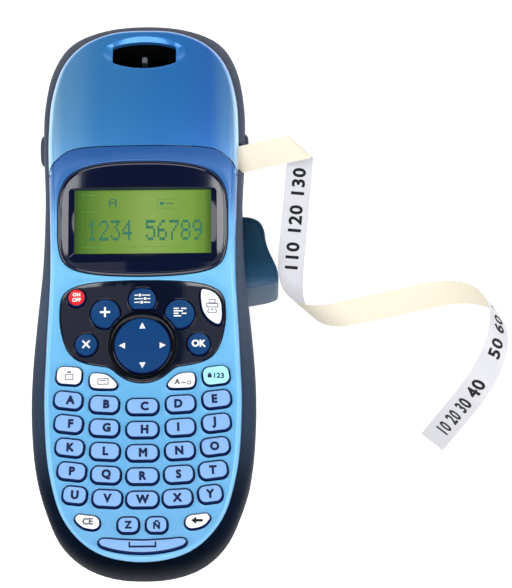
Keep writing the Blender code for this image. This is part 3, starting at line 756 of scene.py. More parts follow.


# The cover's blue turns lighter towards both side edges: painted highlights for the sheen of side light on
# its rounded edges.
cover_blue_and_painted_sheen = material(
    "cover_blue_and_painted_sheen", rough=0.3, metallic=0.42, coat=0.4, coat_rough=0.15, mottle=0.03, grain=3000, bump=0.0,
    ramp=("X", (
        (-31, (152, 200, 234)), (-25, (100, 164, 218)), (-13, (61, 141, 212)), (10, (49, 131, 210)),
        (21, (52, 122, 208)), (27, (92, 150, 212)), (31, (162, 202, 234)),
    )),
)
# The front shell is light blue over the keys and darkens towards the head: painted shading for how its
# tilted face takes the light.
shell_blue_and_painted_shading = material(
    "shell_blue_and_painted_shading", rough=0.34, metallic=0.2, coat=0.3, coat_rough=0.15, mottle=0.05, grain=3000, bump=0.02,
    ramp=("Y", (
        (-88, (112, 180, 230)), (-40, (102, 180, 232)), (4, (110, 188, 236)),
        (18, (90, 164, 222)), (32, (38, 106, 176)), (47, (24, 86, 158)),
    )),
)
# The housing runs from near black at the tail to grey at the head: painted shading, dark where it faces
# away from the light and lit towards the head.
housing_plastic_painted_shading = material(
    "housing_plastic_painted_shading", rough=0.5, mottle=0.14, grain=1500, bump=0.25, spread=0.1, specular=0.012,
    ramp=("Y", (
        (-91, (2, 10, 22)), (-70, (10, 20, 36)), (-40, (52, 64, 82)),
        (0, (74, 85, 104)), (60, (76, 83, 100)), (98, (98, 102, 114)),
    )),
)
inside_plastic = material("inside_plastic", (26, 28, 34), rough=0.6, mottle=0.12, grain=1200, bump=0.2)
glossy = dict(coat=0.3, mottle=0.1, spread=0.02, bump=0.0)
bezel_gloss = material("bezel_gloss", (6, 14, 44), rough=0.06, **glossy)
panel_gloss = material("panel_gloss", (4, 12, 36), rough=0.08, **glossy)
ring_black = material("ring_black", (2, 5, 16), rough=0.16, mottle=0.1, bump=0.0, specular=0.2)
key_top = material("key_top", (134, 178, 232), rough=0.42, mottle=0.07, grain=1300, bump=0.1, specular=0.25)
key_edge = material("key_edge", (6, 30, 84), rough=0.4, mottle=0.1, specular=0.1)
key_white = material("key_white", (250, 251, 254), rough=0.4, mottle=0.03)
key_cyan = material("key_cyan", (168, 238, 246), rough=0.4, mottle=0.05, specular=0.3)
key_red = material("key_red", (226, 12, 28), rough=0.35, mottle=0.1, specular=0.3)
key_navy = material("key_navy", (3, 62, 114), rough=0.38, mottle=0.1, specular=0.15)
nav_blue = material("nav_blue", (2, 60, 114), rough=0.38, mottle=0.08, specular=0.15)
flat_ink = dict(rough=0.5, bump=0.0, specular=0.2)
ink_dark = material("ink_dark", (12, 28, 72), **flat_ink)
ink_grey = material("ink_grey", (90, 94, 104), **flat_ink)
ink_black = material("ink_black", (20, 20, 24), **flat_ink)
ink_white = material("ink_white", (252, 253, 255), bump=0.0)
# The display's green darkens towards its left and right edges: painted shade where the bezel's recess
# shades it.
lcd_green = material(
    "lcd_green", rough=0.35, mottle=0.05, grain=500, bump=0.0, specular=0.25,
    ramp=("X", (
        (-21.8, (48, 78, 14)), (-19, (66, 108, 24)), (-16, (82, 120, 36)), (-11.5, (101, 135, 46)),
        (2.5, (123, 154, 71)), (14.5, (110, 147, 54)), (19, (94, 130, 36)), (21.6, (62, 94, 22)),
    )),
)
lcd_ink = material("lcd_ink", (44, 112, 84), rough=0.4, mottle=0.15, bump=0.0, specular=0.25)
lcd_faint = material("lcd_faint", (92, 142, 66), rough=0.4, mottle=0.1, bump=0.0, specular=0.25)
# The lever's places are from its pivot, which is its origin. It turns lighter towards its front end:
# painted light on the end face, over its dark teal.
lever_teal_and_painted_light = material(
    "lever_teal_and_painted_light", rough=0.34, mottle=0.08, grain=1600, bump=0.1, specular=0.08,
    ramp=("Y", ((-22, (70, 96, 124)), (-17, (26, 66, 94)), (-11, (8, 50, 74)), (3, (6, 42, 62)))),
)
strip_front = material("strip_front", (211, 211, 217), rough=0.4, mottle=0.03, grain=700, bump=0.02)
strip_back = material("strip_back", (236, 227, 206), rough=0.55, mottle=0.05, grain=500, bump=0.1)
blade_steel = material("blade_steel", (190, 192, 196), rough=0.22, metallic=1.0, mottle=0.12, grain=2500)
motor_steel = material("motor_steel", (170, 172, 178), rough=0.32, metallic=1.0, mottle=0.15, grain=1800)
platen_rubber = material("platen_rubber", (30, 30, 32), rough=0.75, mottle=0.2, grain=1500, bump=0.3)
gear_nylon = material("gear_nylon", (230, 226, 212), rough=0.5, mottle=0.06)
tape_paper = material("tape_paper", (238, 234, 220), rough=0.6, mottle=0.08, grain=2500, bump=0.3)
board_green = material("board_green", (24, 92, 50), rough=0.4, mottle=0.3, grain=600, bump=0.1)
head_ceramic = material("head_ceramic", (214, 210, 196), rough=0.4, mottle=0.1)
cassette_plastic = material(
    "cassette_plastic", (94, 98, 108), rough=0.42, mottle=0.1, grain=1200, bump=0.15,
)
cell_jacket = material(
    "cell_jacket", rough=0.3, mottle=0.08, bump=0.02, metallic=0.2,
    ramp=("Y", ((-57, (30, 30, 34)), (-21, (34, 34, 38)), (-20.5, (176, 112, 62)), (-6, (186, 122, 70)))),
)


# --- Shells ---

RIM = mirrored(RIM_OUTLINE, RING)
WAIST = mirrored(WAIST_OUTLINE, RING)
# The gap around the bezel and the panel.
FRAME_GAP = 0.15
# Spacing of the points that fill the front face and its underside.
FACE_MESH = (2.6, 5.2)


def between(share):
    """The housing's outline on its way from the rim out to its widest line."""
    return [a.lerp(b, share) for a, b in zip(RIM, WAIST)]


def hole_rings(shape, loop, radius, surface):
    """The rounded mouth and wall of an opening: the ring in the face, and the lowest."""
    size = radius if callable(radius) else (lambda y: radius)
    rings = []
    for out, down in quarter(3):
        mouth = inset(loop, lambda y, out=out: -size(y) * out)
        rings.append(shape.level(mouth, lambda x, y, down=down: surface(x, y) - size(y) * down))
    rings.append(shape.level(loop, raised(surface, -PLATE)))
    shape.stack(rings)
    return rings[0], rings[-1]


def close_plate(shape, rings, ends, surface, spacings):
    """Fills a plate's face and underside, around the first and last ring of its openings."""
    shape.sheet(rings[0], [first for first, _ in ends], surface, spacings[0])
    shape.sheet(rings[-1], [last for _, last in ends], face_under, spacings[1])


def lid(name, openings, materials, well=()):
    """The front face with rounded openings: openings are (loop, mouth radius).

    well is the steps of a recess, from its mouth to the plate's underside: (loop, depth).
    """
    shape = Shape()
    edge = inset(RIM, edge_in)
    wall = inset(RIM, lambda y: min(2.0, edge_in(y) + 0.1))
    top = [face_z(p.x, p.y) for p in edge]
    low = [rim_z(q.y) + GAP / 2 for q in RIM]
    rings = []
    for out, down in quarter(10):
        loop = inset(RIM, lambda y, out=out: edge_in(y) * out)
        rings.append(shape.ring([(p.x, p.y, t + (b - t) * down) for p, t, b in zip(loop, top, low)]))
    rings.append(shape.ring([(p.x, p.y, z) for p, z in zip(wall, low)]))
    rings.append(shape.level(wall, face_under))
    shape.stack(rings)
    ends = [hole_rings(shape, loop, radius, face_z) for loop, radius in openings]
    if well:
        steps = [shape.level(loop, raised(face_z, -drop)) for loop, drop in well]
        shape.stack(steps)
        ends.append((steps[0], steps[-1]))
    close_plate(shape, rings, ends, face_z, FACE_MESH)
    return shape.make(name, materials)


def seam_cutter(name, side, bevel):
    """A block over one side of the seam.

    bevel is how far its wall leans back per height, which fades out near the sides.
    """
    half = [Vector(p) for p in SEAM]
    line = half + [Vector((-p.x, p.y)) for p in reversed(half[:-1])]
    # An open Catmull-Rom curve through the seam's points.
    curve = []
    for i in range(len(line) - 1):
        p = [line[max(0, min(len(line) - 1, i + k - 1))] for k in range(4)]
        a = -0.5 * p[0] + 1.5 * p[1] - 1.5 * p[2] + 0.5 * p[3]
        b = p[0] - 2.5 * p[1] + 2 * p[2] - 0.5 * p[3]
        c = -0.5 * p[0] + 0.5 * p[2]
        curve += [a * t ** 3 + b * t ** 2 + c * t + p[1] for t in (0, 0.25, 0.5, 0.75)]
    curve.append(line[-1])
    beyond = side * 130
    shape = Shape()
    rings = []
    for z, lean_z in ((20, 39), (39, 39), (41, 41), (43, 43), (45, 45), (47, 47), (60, 47)):
        loop = []
        for p in curve:
            share = blend(bevel, 0, (abs(p.x) - 25) / 4)
            lean = share * (face_z(p.x, p.y) - lean_z)
            if bevel:
                lean += blend(0, 0.6, (abs(p.x) - 27) / 2)
            loop.append((p.x, p.y + lean - side * GAP / 2, z))
        rings.append(shape.ring(loop + [(40, beyond, z), (-40, beyond, z)]))
    shape.stack(rings, True)
    return shape.make(name, ())


# --- Keys ---

LETTERS = "ABCDEFGHIJKLMNOPQRSTUVWXY"
# Letter keys by their distance from the middle column: x of the first row and how fast
# the rows draw in, y of the first row, pitch, size, and turn in degrees.
LETTER_COLUMNS = (
    (0.0, 0.0, -39.8, 7.33, (10.8, 5.9), 0),
    (11.95, 0.065, -39.0, 7.42, (10.0, 6.2), 4),
    (23.25, 0.135, -37.4, 7.5, (9.7, 6.3), 8),
)
LETTER_CORNER = 2.6
LAST_OUTER_WIDTH = 8.3
# Other keys with straight sides: x, y, width, height, corner radius and turn in degrees.
KEY_Z = (-4.4, -77.1, 7.4, 5.8, 2.4, 0)
KEY_N_TILDE = (4.4, -77.1, 7.4, 5.8, 2.4, 0)
KEY_MEMORY = (-23.0, -29.6, 8.7, 6.4, 2.4, -6)
KEY_NUMBER_LOCK = (23.1, -29.9, 9.1, 6.6, 2.6, 8)
# Free outlines, of which the space key's is its right half.
TAB_OUTLINE = (
    (21.4, -74.9), (20.2, -73.2), (17.5, -73.4), (14.2, -74.0), (13.0, -75.4),
    (13.1, -77.6), (14.6, -78.7), (17.9, -78.3), (19.6, -77.4), (20.7, -76.3),
)
SPACE_OUTLINE = (
    (0, -81.4), (7, -81.1), (12.6, -80.8), (13.8, -81.5), (14.1, -82.5),
    (13.4, -83.7), (11.8, -84.5), (7, -85.7), (0, -86.3),
)
CLIPPED_OUTLINE = (
    (16.2, -28.9), (17.0, -31.0), (16.2, -33.8), (12.0, -34.5), (8.2, -34.2), (7.5, -32.8),
    (10.4, -29.6), (12.6, -28.8),
)
SETTINGS_OUTLINE = (
    (0, -1.5), (3.1, -2.3), (4.6, -4.8), (4.4, -7.3), (3.2, -8.8), (0, -9.0),
    (-3.2, -8.8), (-4.4, -7.3), (-4.6, -4.8), (-3.1, -2.3),
)
PRINT_OUTLINE = (
    (18.1, -2.7), (18.6, -1.9), (20.9, -2), (23.5, -3.4), (25.1, -6), (25.5, -9.6),
    (25.2, -12.6), (24.3, -13.9), (22.9, -13.7), (20.6, -12.2), (18.9, -9.9), (18.1, -6.6),
)
# Round keys: x, y, radius and number of points.
KEY_ON_OFF = (-20.8, -4.6, 3.1, 40)
KEY_INSERT = (-11.7, -10.0, 5.0, 48)
KEY_FORMAT = (11.8, -10.2, 5.0, 48)
KEY_CANCEL = (-17.7, -19.8, 3.9, 40)
KEY_OK = (17.7, -19.8, 3.9, 40)
# How far each row's legends are shifted in x: inwards, and in the middle column to the right.
LEGEND_SHIFTS = (0.7, 0.7, 0.2, 0.1, 0.05)
# A key's gap in its opening, how far its flange reaches past the opening, the flange's low
# and high side and the neck above it, and the key's edge radius.
KEY_GAP = 0.3
KEY_FLANGE = 0.12
FLANGE_LOW = -3.9
FLANGE_HIGH = -2.5
NECK_LOW = -2.1
KEY_EDGE = 0.45
# How far over the key's top a print's own zero height lies.
PRINT_LIFT = 0.03
# How wide the dark band around a key's coloured top is.
LETTER_BAND = 0.42
WHITE_BAND = 0.26
NAVY_BAND = 0.25
# How high the round keys' tops are domed, and how deep the navigation pad's is hollowed.
ROUND_DOME = 0.3
NAV_HOLLOW = 0.35


def letter_keys():
    """The letter, x, y, size, turn, row and column of each letter key."""
    found = []
    for row in range(5):
        for column in range(5):
            side = (column > 2) - (column < 2)
            x, draw, y, pitch, size, turn = LETTER_COLUMNS[abs(column - 2)]
            if row == 4 and column in (0, 4):
                size = (LAST_OUTER_WIDTH, size[1])
            spot = (side * (x - draw * row * row), y - pitch * row)
            found.append((LETTERS[5 * row + column], *spot, size, side * turn, row, column))
    return found


def key_box(x, y, width, height, radius, turn):
    return box_loop(x, y, width, height, radius, math.radians(turn), 9)


def key_openings():
    """Opening loops by node name: those in the front shell, then those in the panel."""
    shell = {}
    for letter, x, y, size, turn, _, _ in letter_keys():
        shell["key_" + letter.lower()] = key_box(x, y, *size, LETTER_CORNER, turn)
    shell["key_z"] = key_box(*KEY_Z)
    shell["key_n_tilde"] = key_box(*KEY_N_TILDE)
    shell["key_backspace"] = rounded(TAB_OUTLINE)
    shell["key_clear"] = rounded(flipped(TAB_OUTLINE))
    shell["key_space"] = mirrored(SPACE_OUTLINE, 72)
    shell["key_memory"] = key_box(*KEY_MEMORY)
    shell["key_number_lock"] = key_box(*KEY_NUMBER_LOCK)
    shell["key_text_size"] = rounded(CLIPPED_OUTLINE)
    shell["key_preview"] = rounded(flipped(CLIPPED_OUTLINE))
    panel = {}
    panel["key_on_off"] = circle(*KEY_ON_OFF)
    panel["key_settings"] = rounded(SETTINGS_OUTLINE)
    panel["key_insert"] = clear_of_ring(circle(*KEY_INSERT))
    panel["key_format"] = clear_of_ring(circle(*KEY_FORMAT))
    panel["key_cancel"] = circle(*KEY_CANCEL)
    panel["key_ok"] = circle(*KEY_OK)
    panel["key_print"] = rounded(PRINT_OUTLINE)
    panel["nav_pad"] = circle(*NAV_CENTRE, NAV_RADIUS, 72)
    return shell, panel


def build_key(node, opening, prints, top, ink, proud=0.8, band=LETTER_BAND, dome=0.12, shift=(0, 0)):
    """A key cap: dark sides, a coloured top inside the band, and its printed legend."""
    x = sum(p.x for p in opening) / len(opening)
    y = sum(p.y for p in opening) / len(opening)
    base = face_z(x, y)

    def height(rise):
        """A plane over the key that follows the face's slope."""
        return lambda px, py: base + rise + (py - y) * FACE_SLOPE - 2 * FACE_CROWN * x * (px - x)

    body = inset(opening, KEY_GAP)
    flange = inset(opening, -KEY_FLANGE)
    shape = Shape()
    shape.brush = 1
    rings = [
        shape.level(flange, height(FLANGE_LOW)),
        shape.level(flange, height(FLANGE_HIGH)),
        shape.level(body, height(NECK_LOW)),
    ]
    for out, down in quarter(5):
        rings.append(shape.level(inset(body, KEY_EDGE * down), height(proud - KEY_EDGE * 0.8 * out)))
    inner = inset(body, band)
    crown = proud + 0.02
    rings.append(shape.level(inner, height(crown)))
    shape.stack(rings)
    shape.face(rings[0])
    shape.brush = 0
    shape.dome(rings[-1], inner, height(crown), dome)
    shape.brush = 2
    middle = Vector((x, y))
    reach = max((p - middle).length for p in inner)

    def place(p, lift):
        q = Vector((x + p.x + shift[0], y + p.y + shift[1]))
        share = min(1.0, (q - middle).length / reach)
        rise = crown + dome * (1 - share * share)
        return (q.x, q.y, height(rise + lift + PRINT_LIFT)(q.x, q.y))

    for flat in prints:
        add_print(shape, flat, place)
    piece = shape.make(node + "_cap", [top, key_edge, ink], (x, y, base))
    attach(piece, node)
    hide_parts(node)


def build_keys(openings):
    """Every key and its legend, in millimetres from its middle; plain symbols stand for words."""

    def key(name, prints, top=key_top, ink=ink_dark, **more):
        build_key("key_" + name, openings["key_" + name], prints, top, ink, **more)

    for letter, _, _, _, turn, row, column in letter_keys():
        side = -1 if column > 2 else 1
        legend = turned(text_print(letter, 3.5, 0.2), math.radians(turn * 0.4))
        key(letter.lower(), [legend], shift=(side * LEGEND_SHIFTS[row], 0))
    key("z", [text_print("Z", 3.1, 0.16)])
    key("n_tilde", [text_print("Ñ", 2.9, 0.15)])
    bracket = [stroke((-4.3, -0.8), (4.3, -0.8), 0.6)]
    bracket += [stroke((x, -0.5), (x, 0.7), 0.5) for x in (-4.05, 4.05)]
    key("space", bracket, shift=(0, 0.1))

    arrow = polygon((
        (-1.9, 0), (-0.3, 1.15), (-0.3, 0.4), (1.7, 0.4), (1.7, -0.4), (-0.3, -0.4), (-0.3, -1.15),
    ))
    key("backspace", [arrow], key_white, ink_black, band=WHITE_BAND)
    white = dict(top=key_white, ink=ink_grey, band=WHITE_BAND)
    key("clear", [text_print("CE", 2.7, 0.12)], **white)
    box = frame_print(0, -0.5, 2.4, 1.7, 0.26) + [stroke((-0.6, 1.05), (0.6, 1.05), 0.5)]
    key("memory", box, **white)
    tag = frame_print(0, 0, 3.2, 1.7, 0.26) + [stroke((-0.9, 0.25), (0.9, 0.25), 0.3)]
    key("preview", tag, shift=(0.2, 0), **white)
    sizes = [
        moved(text_print("A", 2.2, 0.13), -1.9, 0),
        stroke((-0.7, -0.4), (0.9, -0.4), 0.35),
        ring_print(1.8, -0.3, 0.65, 0.4),
    ]
    key("text_size", sizes, shift=(0.3, -0.2), **white)
    lock = [
        polygon(((-2.6, -0.8), (-1.4, -0.8), (-1.4, 0.3), (-2.6, 0.3))),
        moved(text_print("123", 2.2, 0.08, 1.12), 0.9, -0.1),
        stroke((-2.4, 0.55), (-1.6, 0.55), 0.3),
    ]
    key("number_lock", lock, key_cyan, band=WHITE_BAND)

    power = [moved(text_print(words, 1.55, 0.06), 0, y) for words, y in (("ON", 0.85), ("OFF", -0.85))]
    key("on_off", power, key_red, ink_white, band=0.28, dome=ROUND_DOME)
    navy = dict(top=key_navy, ink=ink_white, band=NAVY_BAND, dome=ROUND_DOME)
    sliders = []
    for y, knob in ((1.15, -0.8), (0, 0.9), (-1.15, -0.2)):
        sliders.append(stroke((-2.5, y), (knob - 0.62, y), 0.3))
        sliders.append(stroke((knob - 0.36, y), (knob + 0.36, y), 0.84))
        sliders.append(stroke((knob + 0.62, y), (2.5, y), 0.3))
    key("settings", sliders, **navy)
    key("insert", [cross_print(1.6, 0.3)], shift=(0, 0.3), **navy)
    lines = [stroke((-2, y), (end, y), 0.42) for y, end in ((1.2, 2), (0.4, 0.9), (-0.4, 2), (-1.2, 0.3))]
    key("format", lines, shift=(0, 0.3), **navy)
    key("cancel", [turned(cross_print(1.6, 0.28), math.pi / 4)], **navy)
    key("ok", [text_print("OK", 2.9, 0.13)], **navy)
    printer = frame_print(0, 1.3, 1.9, 1.1, 0.22) + frame_print(0, 0, 3.6, 1.1, 0.26)
    printer += [stroke((x, -0.9), (1.5 * x, -2.2), 0.24) for x in (-1.0, 1.0)]
    printer += [stroke((-1.4, -2.3), (1.4, -2.3), 0.24), polygon(((0, -0.9), (0.45, -1.5), (-0.45, -1.5)))]
    key("print", printer, shift=(0.2, 0.2), **white)

    head = moved(polygon(((-0.95, -0.85), (0.95, -0.85), (0, 1.05))), 0, 6.3)
    heads = [turned(head, math.pi / 2 * k) for k in range(4)]
    look = dict(top=nav_blue, ink=ink_white, proud=0.9, band=0.3, dome=-NAV_HOLLOW)
    build_key("nav_pad", openings["nav_pad"], heads, **look)


# --- Panel, bezel and display ---

PANEL_RISE = 0.35
PANEL_CROWN = 0.0011
PANEL_EDGE = 0.4
PANEL_MOUTH = 0.15
PANEL_MESH = (1.6, 4.0)
# The ring about the navigation pad: radius and height of its section's corners.
NAV_RIDGE = (
    (9.35, -0.2), (9.45, 0.25), (9.8, 0.42), (10.3, 0.30), (10.9, 0.42), (11.2, 0.28),
    (11.3, -0.1), (11.25, -0.3), (9.35, -0.3),
)
# The bezel's lip: how far its foot lies under the face, and the reach and rise of its curve.
LIP_FOOT = 0.15
LIP_REACH = 0.75
LIP_RISE = 0.65
# The bezel's underside and its flat frame, from the face.
BEZEL_UNDER = -1.6
BEZEL_RISE = 0.15
# The bezel's recess at its mouth and lower down: half its width, its low and high edge, and
# its corner radii at those edges. The display's window comes below, with one corner radius.
RECESS_MOUTH = (23.6, 6.9, 32.05, 2.6, 1.4)
RECESS_SHADE = (23.15, 7.6, 31.95, 2.3, 1.2)
WINDOW_CORNER = 0.5
# The angle in degrees over which glossy pieces keep a sharp edge.
GLOSSY_SHARP = 13


def panel_z(x, y):
    """The panel's surface: a little more crowned than the shell."""
    return face_z(x, y) + PANEL_RISE - PANEL_CROWN * x * x


def build_panel(outline, holes):
    shape = Shape()
    rings = []
    for out, down in quarter(5):
        rings.append(shape.level(inset(outline, PANEL_EDGE * out), raised(panel_z, -PANEL_EDGE * down)))
    rings.append(shape.level(outline, face_under))
    shape.stack(rings)
    ends = [hole_rings(shape, loop, PANEL_MOUTH, panel_z) for loop in holes]
    close_plate(shape, rings, ends, panel_z, PANEL_MESH)
    piece = shape.make("key_panel_face", [panel_gloss], sharp=GLOSSY_SHARP)
    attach(piece, "case")
    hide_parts("key_panel")

    # A low round ridge about the navigation pad.
    shape = Shape()
    rings = []
    for radius, rise in NAV_RIDGE:
        rings.append(shape.level(circle(*NAV_CENTRE, radius, 72), raised(panel_z, rise)))
    shape.stack(rings)
    shape.bridge(rings[-1], rings[0])
    ring = shape.make("nav_ring", [ring_black])
    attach(ring, "case")


bezel_z = raised(face_z, BEZEL_RISE)


def lcd_z(x, y):
    """The display's flat face."""
    middle = (WINDOW[1] + WINDOW[2]) / 2
    slope = FACE_SLOPE - (middle - FACE_BEND_Y) / FACE_RADIUS
    return centre_z(middle) - LCD_DROP + slope * (y - middle)


def recess_loop(half, low, high, radius_low, radius_high):
    """A rectangle with its own corner radius at the bottom and at the top."""
    steps = 9
    found = []
    for sx, sy, first in ((1, 1, 90), (1, -1, 0), (-1, -1, -90), (-1, 1, 180)):
        radius = radius_high if sy > 0 else radius_low
        cx = sx * (half - radius)
        cy = high - radius if sy > 0 else low + radius
        for k in range(steps):
            a = math.radians(first - 90 * k / (steps - 1))
            found.append(Vector((cx + radius * math.cos(a), cy + radius * math.sin(a))))
    # The straight sides are split so that they follow the curved face.
    split = []
    for i, p in enumerate(found):
        split.append(p)
        if i % steps == steps - 1:
            q = found[(i + 1) % len(found)]
            split += [p.lerp(q, k / 16) for k in range(1, 16)]
    return split


def build_bezel(outline):
    half, low, high = WINDOW
    shape = Shape()
    foot = raised(face_z, -LIP_FOOT)
    lip = [shape.level(outline, raised(face_z, BEZEL_UNDER)), shape.level(outline, foot)]
    # A rounded lip, then a shallow groove, then the flat frame.
    for out, down in quarter(8)[1:]:
        lip.append(shape.level(inset(outline, LIP_REACH * down), raised(foot, LIP_RISE * (1 - out))))
    for reach, surface in ((0.95, raised(face_z, 0.46)), (1.15, raised(face_z, 0.32)), (1.25, bezel_z)):
        lip.append(shape.level(inset(outline, reach), surface))
    shape.stack(lip)

    # The recess slopes in from its mouth to the window, which stands on the display.
    window = recess_loop(half, low + 0.3, high, WINDOW_CORNER, WINDOW_CORNER)
    stand = raised(lcd_z, 0.05)
    well = [
        shape.level(recess_loop(*RECESS_MOUTH), bezel_z),
        shape.level(recess_loop(*RECESS_SHADE), raised(bezel_z, -0.25)),
        shape.level(window, raised(lcd_z, 0.2)),
        shape.level(window, stand),
    ]
    shape.stack(well)
    shape.sheet(lip[-1], [well[0]], bezel_z, 1.8)
    shape.sheet(lip[0], [well[-1]], lambda x, y: max(face_z(x, y) + BEZEL_UNDER, stand(x, y)), 4.0)
    piece = shape.make("display_frame", [bezel_gloss], sharp=GLOSSY_SHARP)
    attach(piece, "case")
    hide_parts("display_bezel")


# The display's characters, as rows of dots from the top.
DOTS = {
    "1": "00100 01100 00100 00100 00100 00100 01110",
    "2": "01110 10001 00001 00010 00100 01000 11111",
    "3": "11111 00010 00100 00010 00001 10001 01110",
    "4": "00010 00110 01010 10010 11111 00010 00010",
    "5": "11111 10000 11110 00001 00001 10001 01110",
    "6": "00110 01000 10000 11110 10001 10001 01110",
    "7": "11111 00001 00010 00100 01000 01000 01000",
    "8": "01110 10001 10001 01110 10001 10001 01110",
    "9": "01110 10001 10001 01111 00001 00010 01100",
    "A": "01110 10001 10001 11111 10001 10001 10001",
    " ": "00000 00000 00000 00000 00000 00000 00000",
}
# Words, x and y of the first dot, the dots' pitch in x and y, and the space between characters.
DISPLAY_WORDS = (
    ("1234 56789", -17.6, 20.5, 0.60, 0.98, 0.72),
    ("A", -10.8, 28.4, 0.5, 0.42, 0.0),
)
# Faint lines and dark marks: x, y, width and height.
FAINT_MARKS = (
    (-19.3, 29.9, 14.5, 0.16), (-19.3, 24.2, 14.5, 0.16), (-19.3, 12.4, 38.6, 0.16),
    (4.6, 28.3, 8.2, 0.2), (4.6, 25.3, 8.2, 0.2), (4.6, 25.3, 0.2, 3.2), (12.6, 25.3, 0.2, 3.2),
)
DARK_MARKS = ((5.4, 26.6, 1.3, 0.9), (7.2, 26.9, 2.6, 0.3))
# How much wider the display is than its window, its corner radius and its thickness.
LCD_BORDER = 3.0
LCD_CORNER = 0.8
LCD_THICK = 2.4


def build_lcd():
    half, low, high = WINDOW
    loop = box_loop(0, (low + high) / 2, 2 * half + LCD_BORDER, high - low + LCD_BORDER, LCD_CORNER)
    shape = Shape()
    shape.stack([shape.level(loop, lcd_z), shape.level(loop, raised(lcd_z, -LCD_THICK))], True)

    def place(p, lift):
        return (p.x, p.y, lcd_z(p.x, p.y) + lift)

    def mark(x, y, width, height):
        points = [Vector(p) for p in ((x, y), (x + width, y), (x + width, y + height), (x, y + height))]
        add_print(shape, (points, [[0, 1, 2, 3]]), place, -0.03)

    shape.brush = 1
    for words, x, y, dot_x, dot_y, space in DISPLAY_WORDS:
        for letter in words:
            for row, line in enumerate(DOTS[letter].split()):
                for column, on in enumerate(line):
                    if on == "1":
                        mark(x + column * dot_x, y - row * dot_y, dot_x * 0.97, dot_y * 0.96)
            x += 5 * dot_x + space
    for brush, marks in ((2, FAINT_MARKS), (1, DARK_MARKS)):
        shape.brush = brush
        for box in marks:
            mark(*box)
    piece = shape.make("lcd_screen", [lcd_green, lcd_ink, lcd_faint])
    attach(piece, "case")
    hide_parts("lcd_module")


# --- Rear housing ---

# From the rim to the widest line: share of the way out, and drop below the rim.
SHOULDER = ((0, 0.15), (0.24, 0.5), (0.45, 1.2), (0.65, 2.3), (0.82, 3.7), (0.94, 5.6), (1, WAIST_DROP))
# From there to the flat back: how far in, how much further in at the tail, and share of height.
BELLY = (
    (0.10, 0.3, 0.72), (0.5, 1.8, 0.38), (1.2, 2.6, 0.2), (2.2, 3.4, 0.10),
    (3.4, 3.1, 0.045), (4.6, 2.8, 0.012), (5.6, 2.3, 0.0), (7.0, 1.5, 0.0),
)
# The inside from its floor up: how far in, how much further in at the tail, and height.
HOLLOW = ((8.6, 3.0, 2.2), (5.2, 3.4, 6.0), (2.9, 1.9, 15.0))
HOUSING_WALL = 2.2
# The battery opening's x, y, width, length and corner radius, and boxes for the strip's
# slot and the lever's window: their two x, two y and two z.
BATTERY_OPENING = (0, -31.5, 49.2, 51, 0.6)
STRIP_SLOT = ((27.0, 40.0), (40.4, 50.0), (33.1, 50.0))
LEVER_WINDOW = ((27.2, 40.0), (1.9, 28.8), (LEVER_Z[0] - 0.8, 31.8))
# The side bosses: their y, z and half sizes, and their rings' x and share of full size.
BOSS = (52.2, 28.0, 5.2, 4.6)
BOSS_RINGS = ((29.6, 1.0), (32.2, 1.0), (32.9, 0.97), (33.4, 0.9), (33.75, 0.78), (33.9, 0.6))
# The cover's latch post: x, y, width, length, corner radius, turn and corner steps; two z;
# and its edges for rounded_rings.
POST = (0, 82.3, 1.8, 2.2, 0.5, 0, 5)
POST_Z = (2.0, 33.0)
POST_EDGE = (4, 0.3, 0.3)


def build_housing():
    shape = Shape()

    def below_rim(drop):
        return lambda y: rim_z(y) - drop

    def drawn_in(side, tail):
        return inset(WAIST, lambda y: side + tail * tail_in(y))

    def rings_of(rows):
        return [shape.ring([(p.x, p.y, height(q.y)) for p, q in zip(loop, RIM)]) for loop, height in rows]

    outer = [(between(share), below_rim(drop)) for share, drop in SHOULDER]
    for side, tail, share in BELLY:
        outer.append((drawn_in(side, tail), lambda y, share=share: (rim_z(y) - WAIST_DROP) * share))
    inner = [(drawn_in(side, tail), lambda y, height=height: height) for side, tail, height in HOLLOW]
    inner += [
        (inset(WAIST, HOUSING_WALL), below_rim(WAIST_DROP)),
        (inset(between(0.82), 2.4), below_rim(4.4)),
        (inset(RIM, lambda y: min(HOUSING_WALL, edge_in(y))), below_rim(0.15)),
    ]
    outside = rings_of(outer)
    inside = rings_of(inner)
    shape.stack(outside)
    shape.brush = 1
    shape.stack(inside)
    shape.brush = 0
    shape.bridge(inside[-1], outside[0])
    shape.face(outside[-1])
    shape.brush = 1
    shape.face(inside[0])
    housing = shape.make("rear_shell", [housing_plastic_painted_shading, inside_plastic])
    carve(housing, [
        prism("battery_opening", box_loop(*BATTERY_OPENING), (-2.0, 4.0)),
        block("strip_slot", *STRIP_SLOT),
        block("lever_window", *LEVER_WINDOW),
    ])
    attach(housing, "case")
    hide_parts("rear_housing")
    y, z, half_y, half_z = BOSS
    for side, word in ((-1, "left"), (1, "right")):
        shape = Shape()
        rings = []
        for reach, grow in BOSS_RINGS:
            loop = ellipse(y, z, half_y * grow, half_z * grow, 48)
            rings.append(shape.ring([(side * reach, p.x, p.y) for p in loop]))
        shape.stack(rings, True)
        boss = shape.make("side_boss_" + word, [housing_plastic_painted_shading])
        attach(boss, "case")
    shape = Shape()
    shape.stack(rounded_rings(shape, box_loop(*POST), POST_Z, POST_EDGE, POST_EDGE), True)
    post = shape.make("latch_post", [cassette_plastic])
    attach(post, "case")


# --- Cover, front shell and lever ---

# The finger well: how far in and how deep its rounded lip's rings lie, how much its sloped
# wall drops, and how deep its floor lies.
WELL_LIP = ((-0.25, 0.0), (-0.07, 0.05), (0, 0.2))
WELL_SLOPE = 1.3
WELL_FLOOR = 3.6
COVER_BEVEL = 0.7
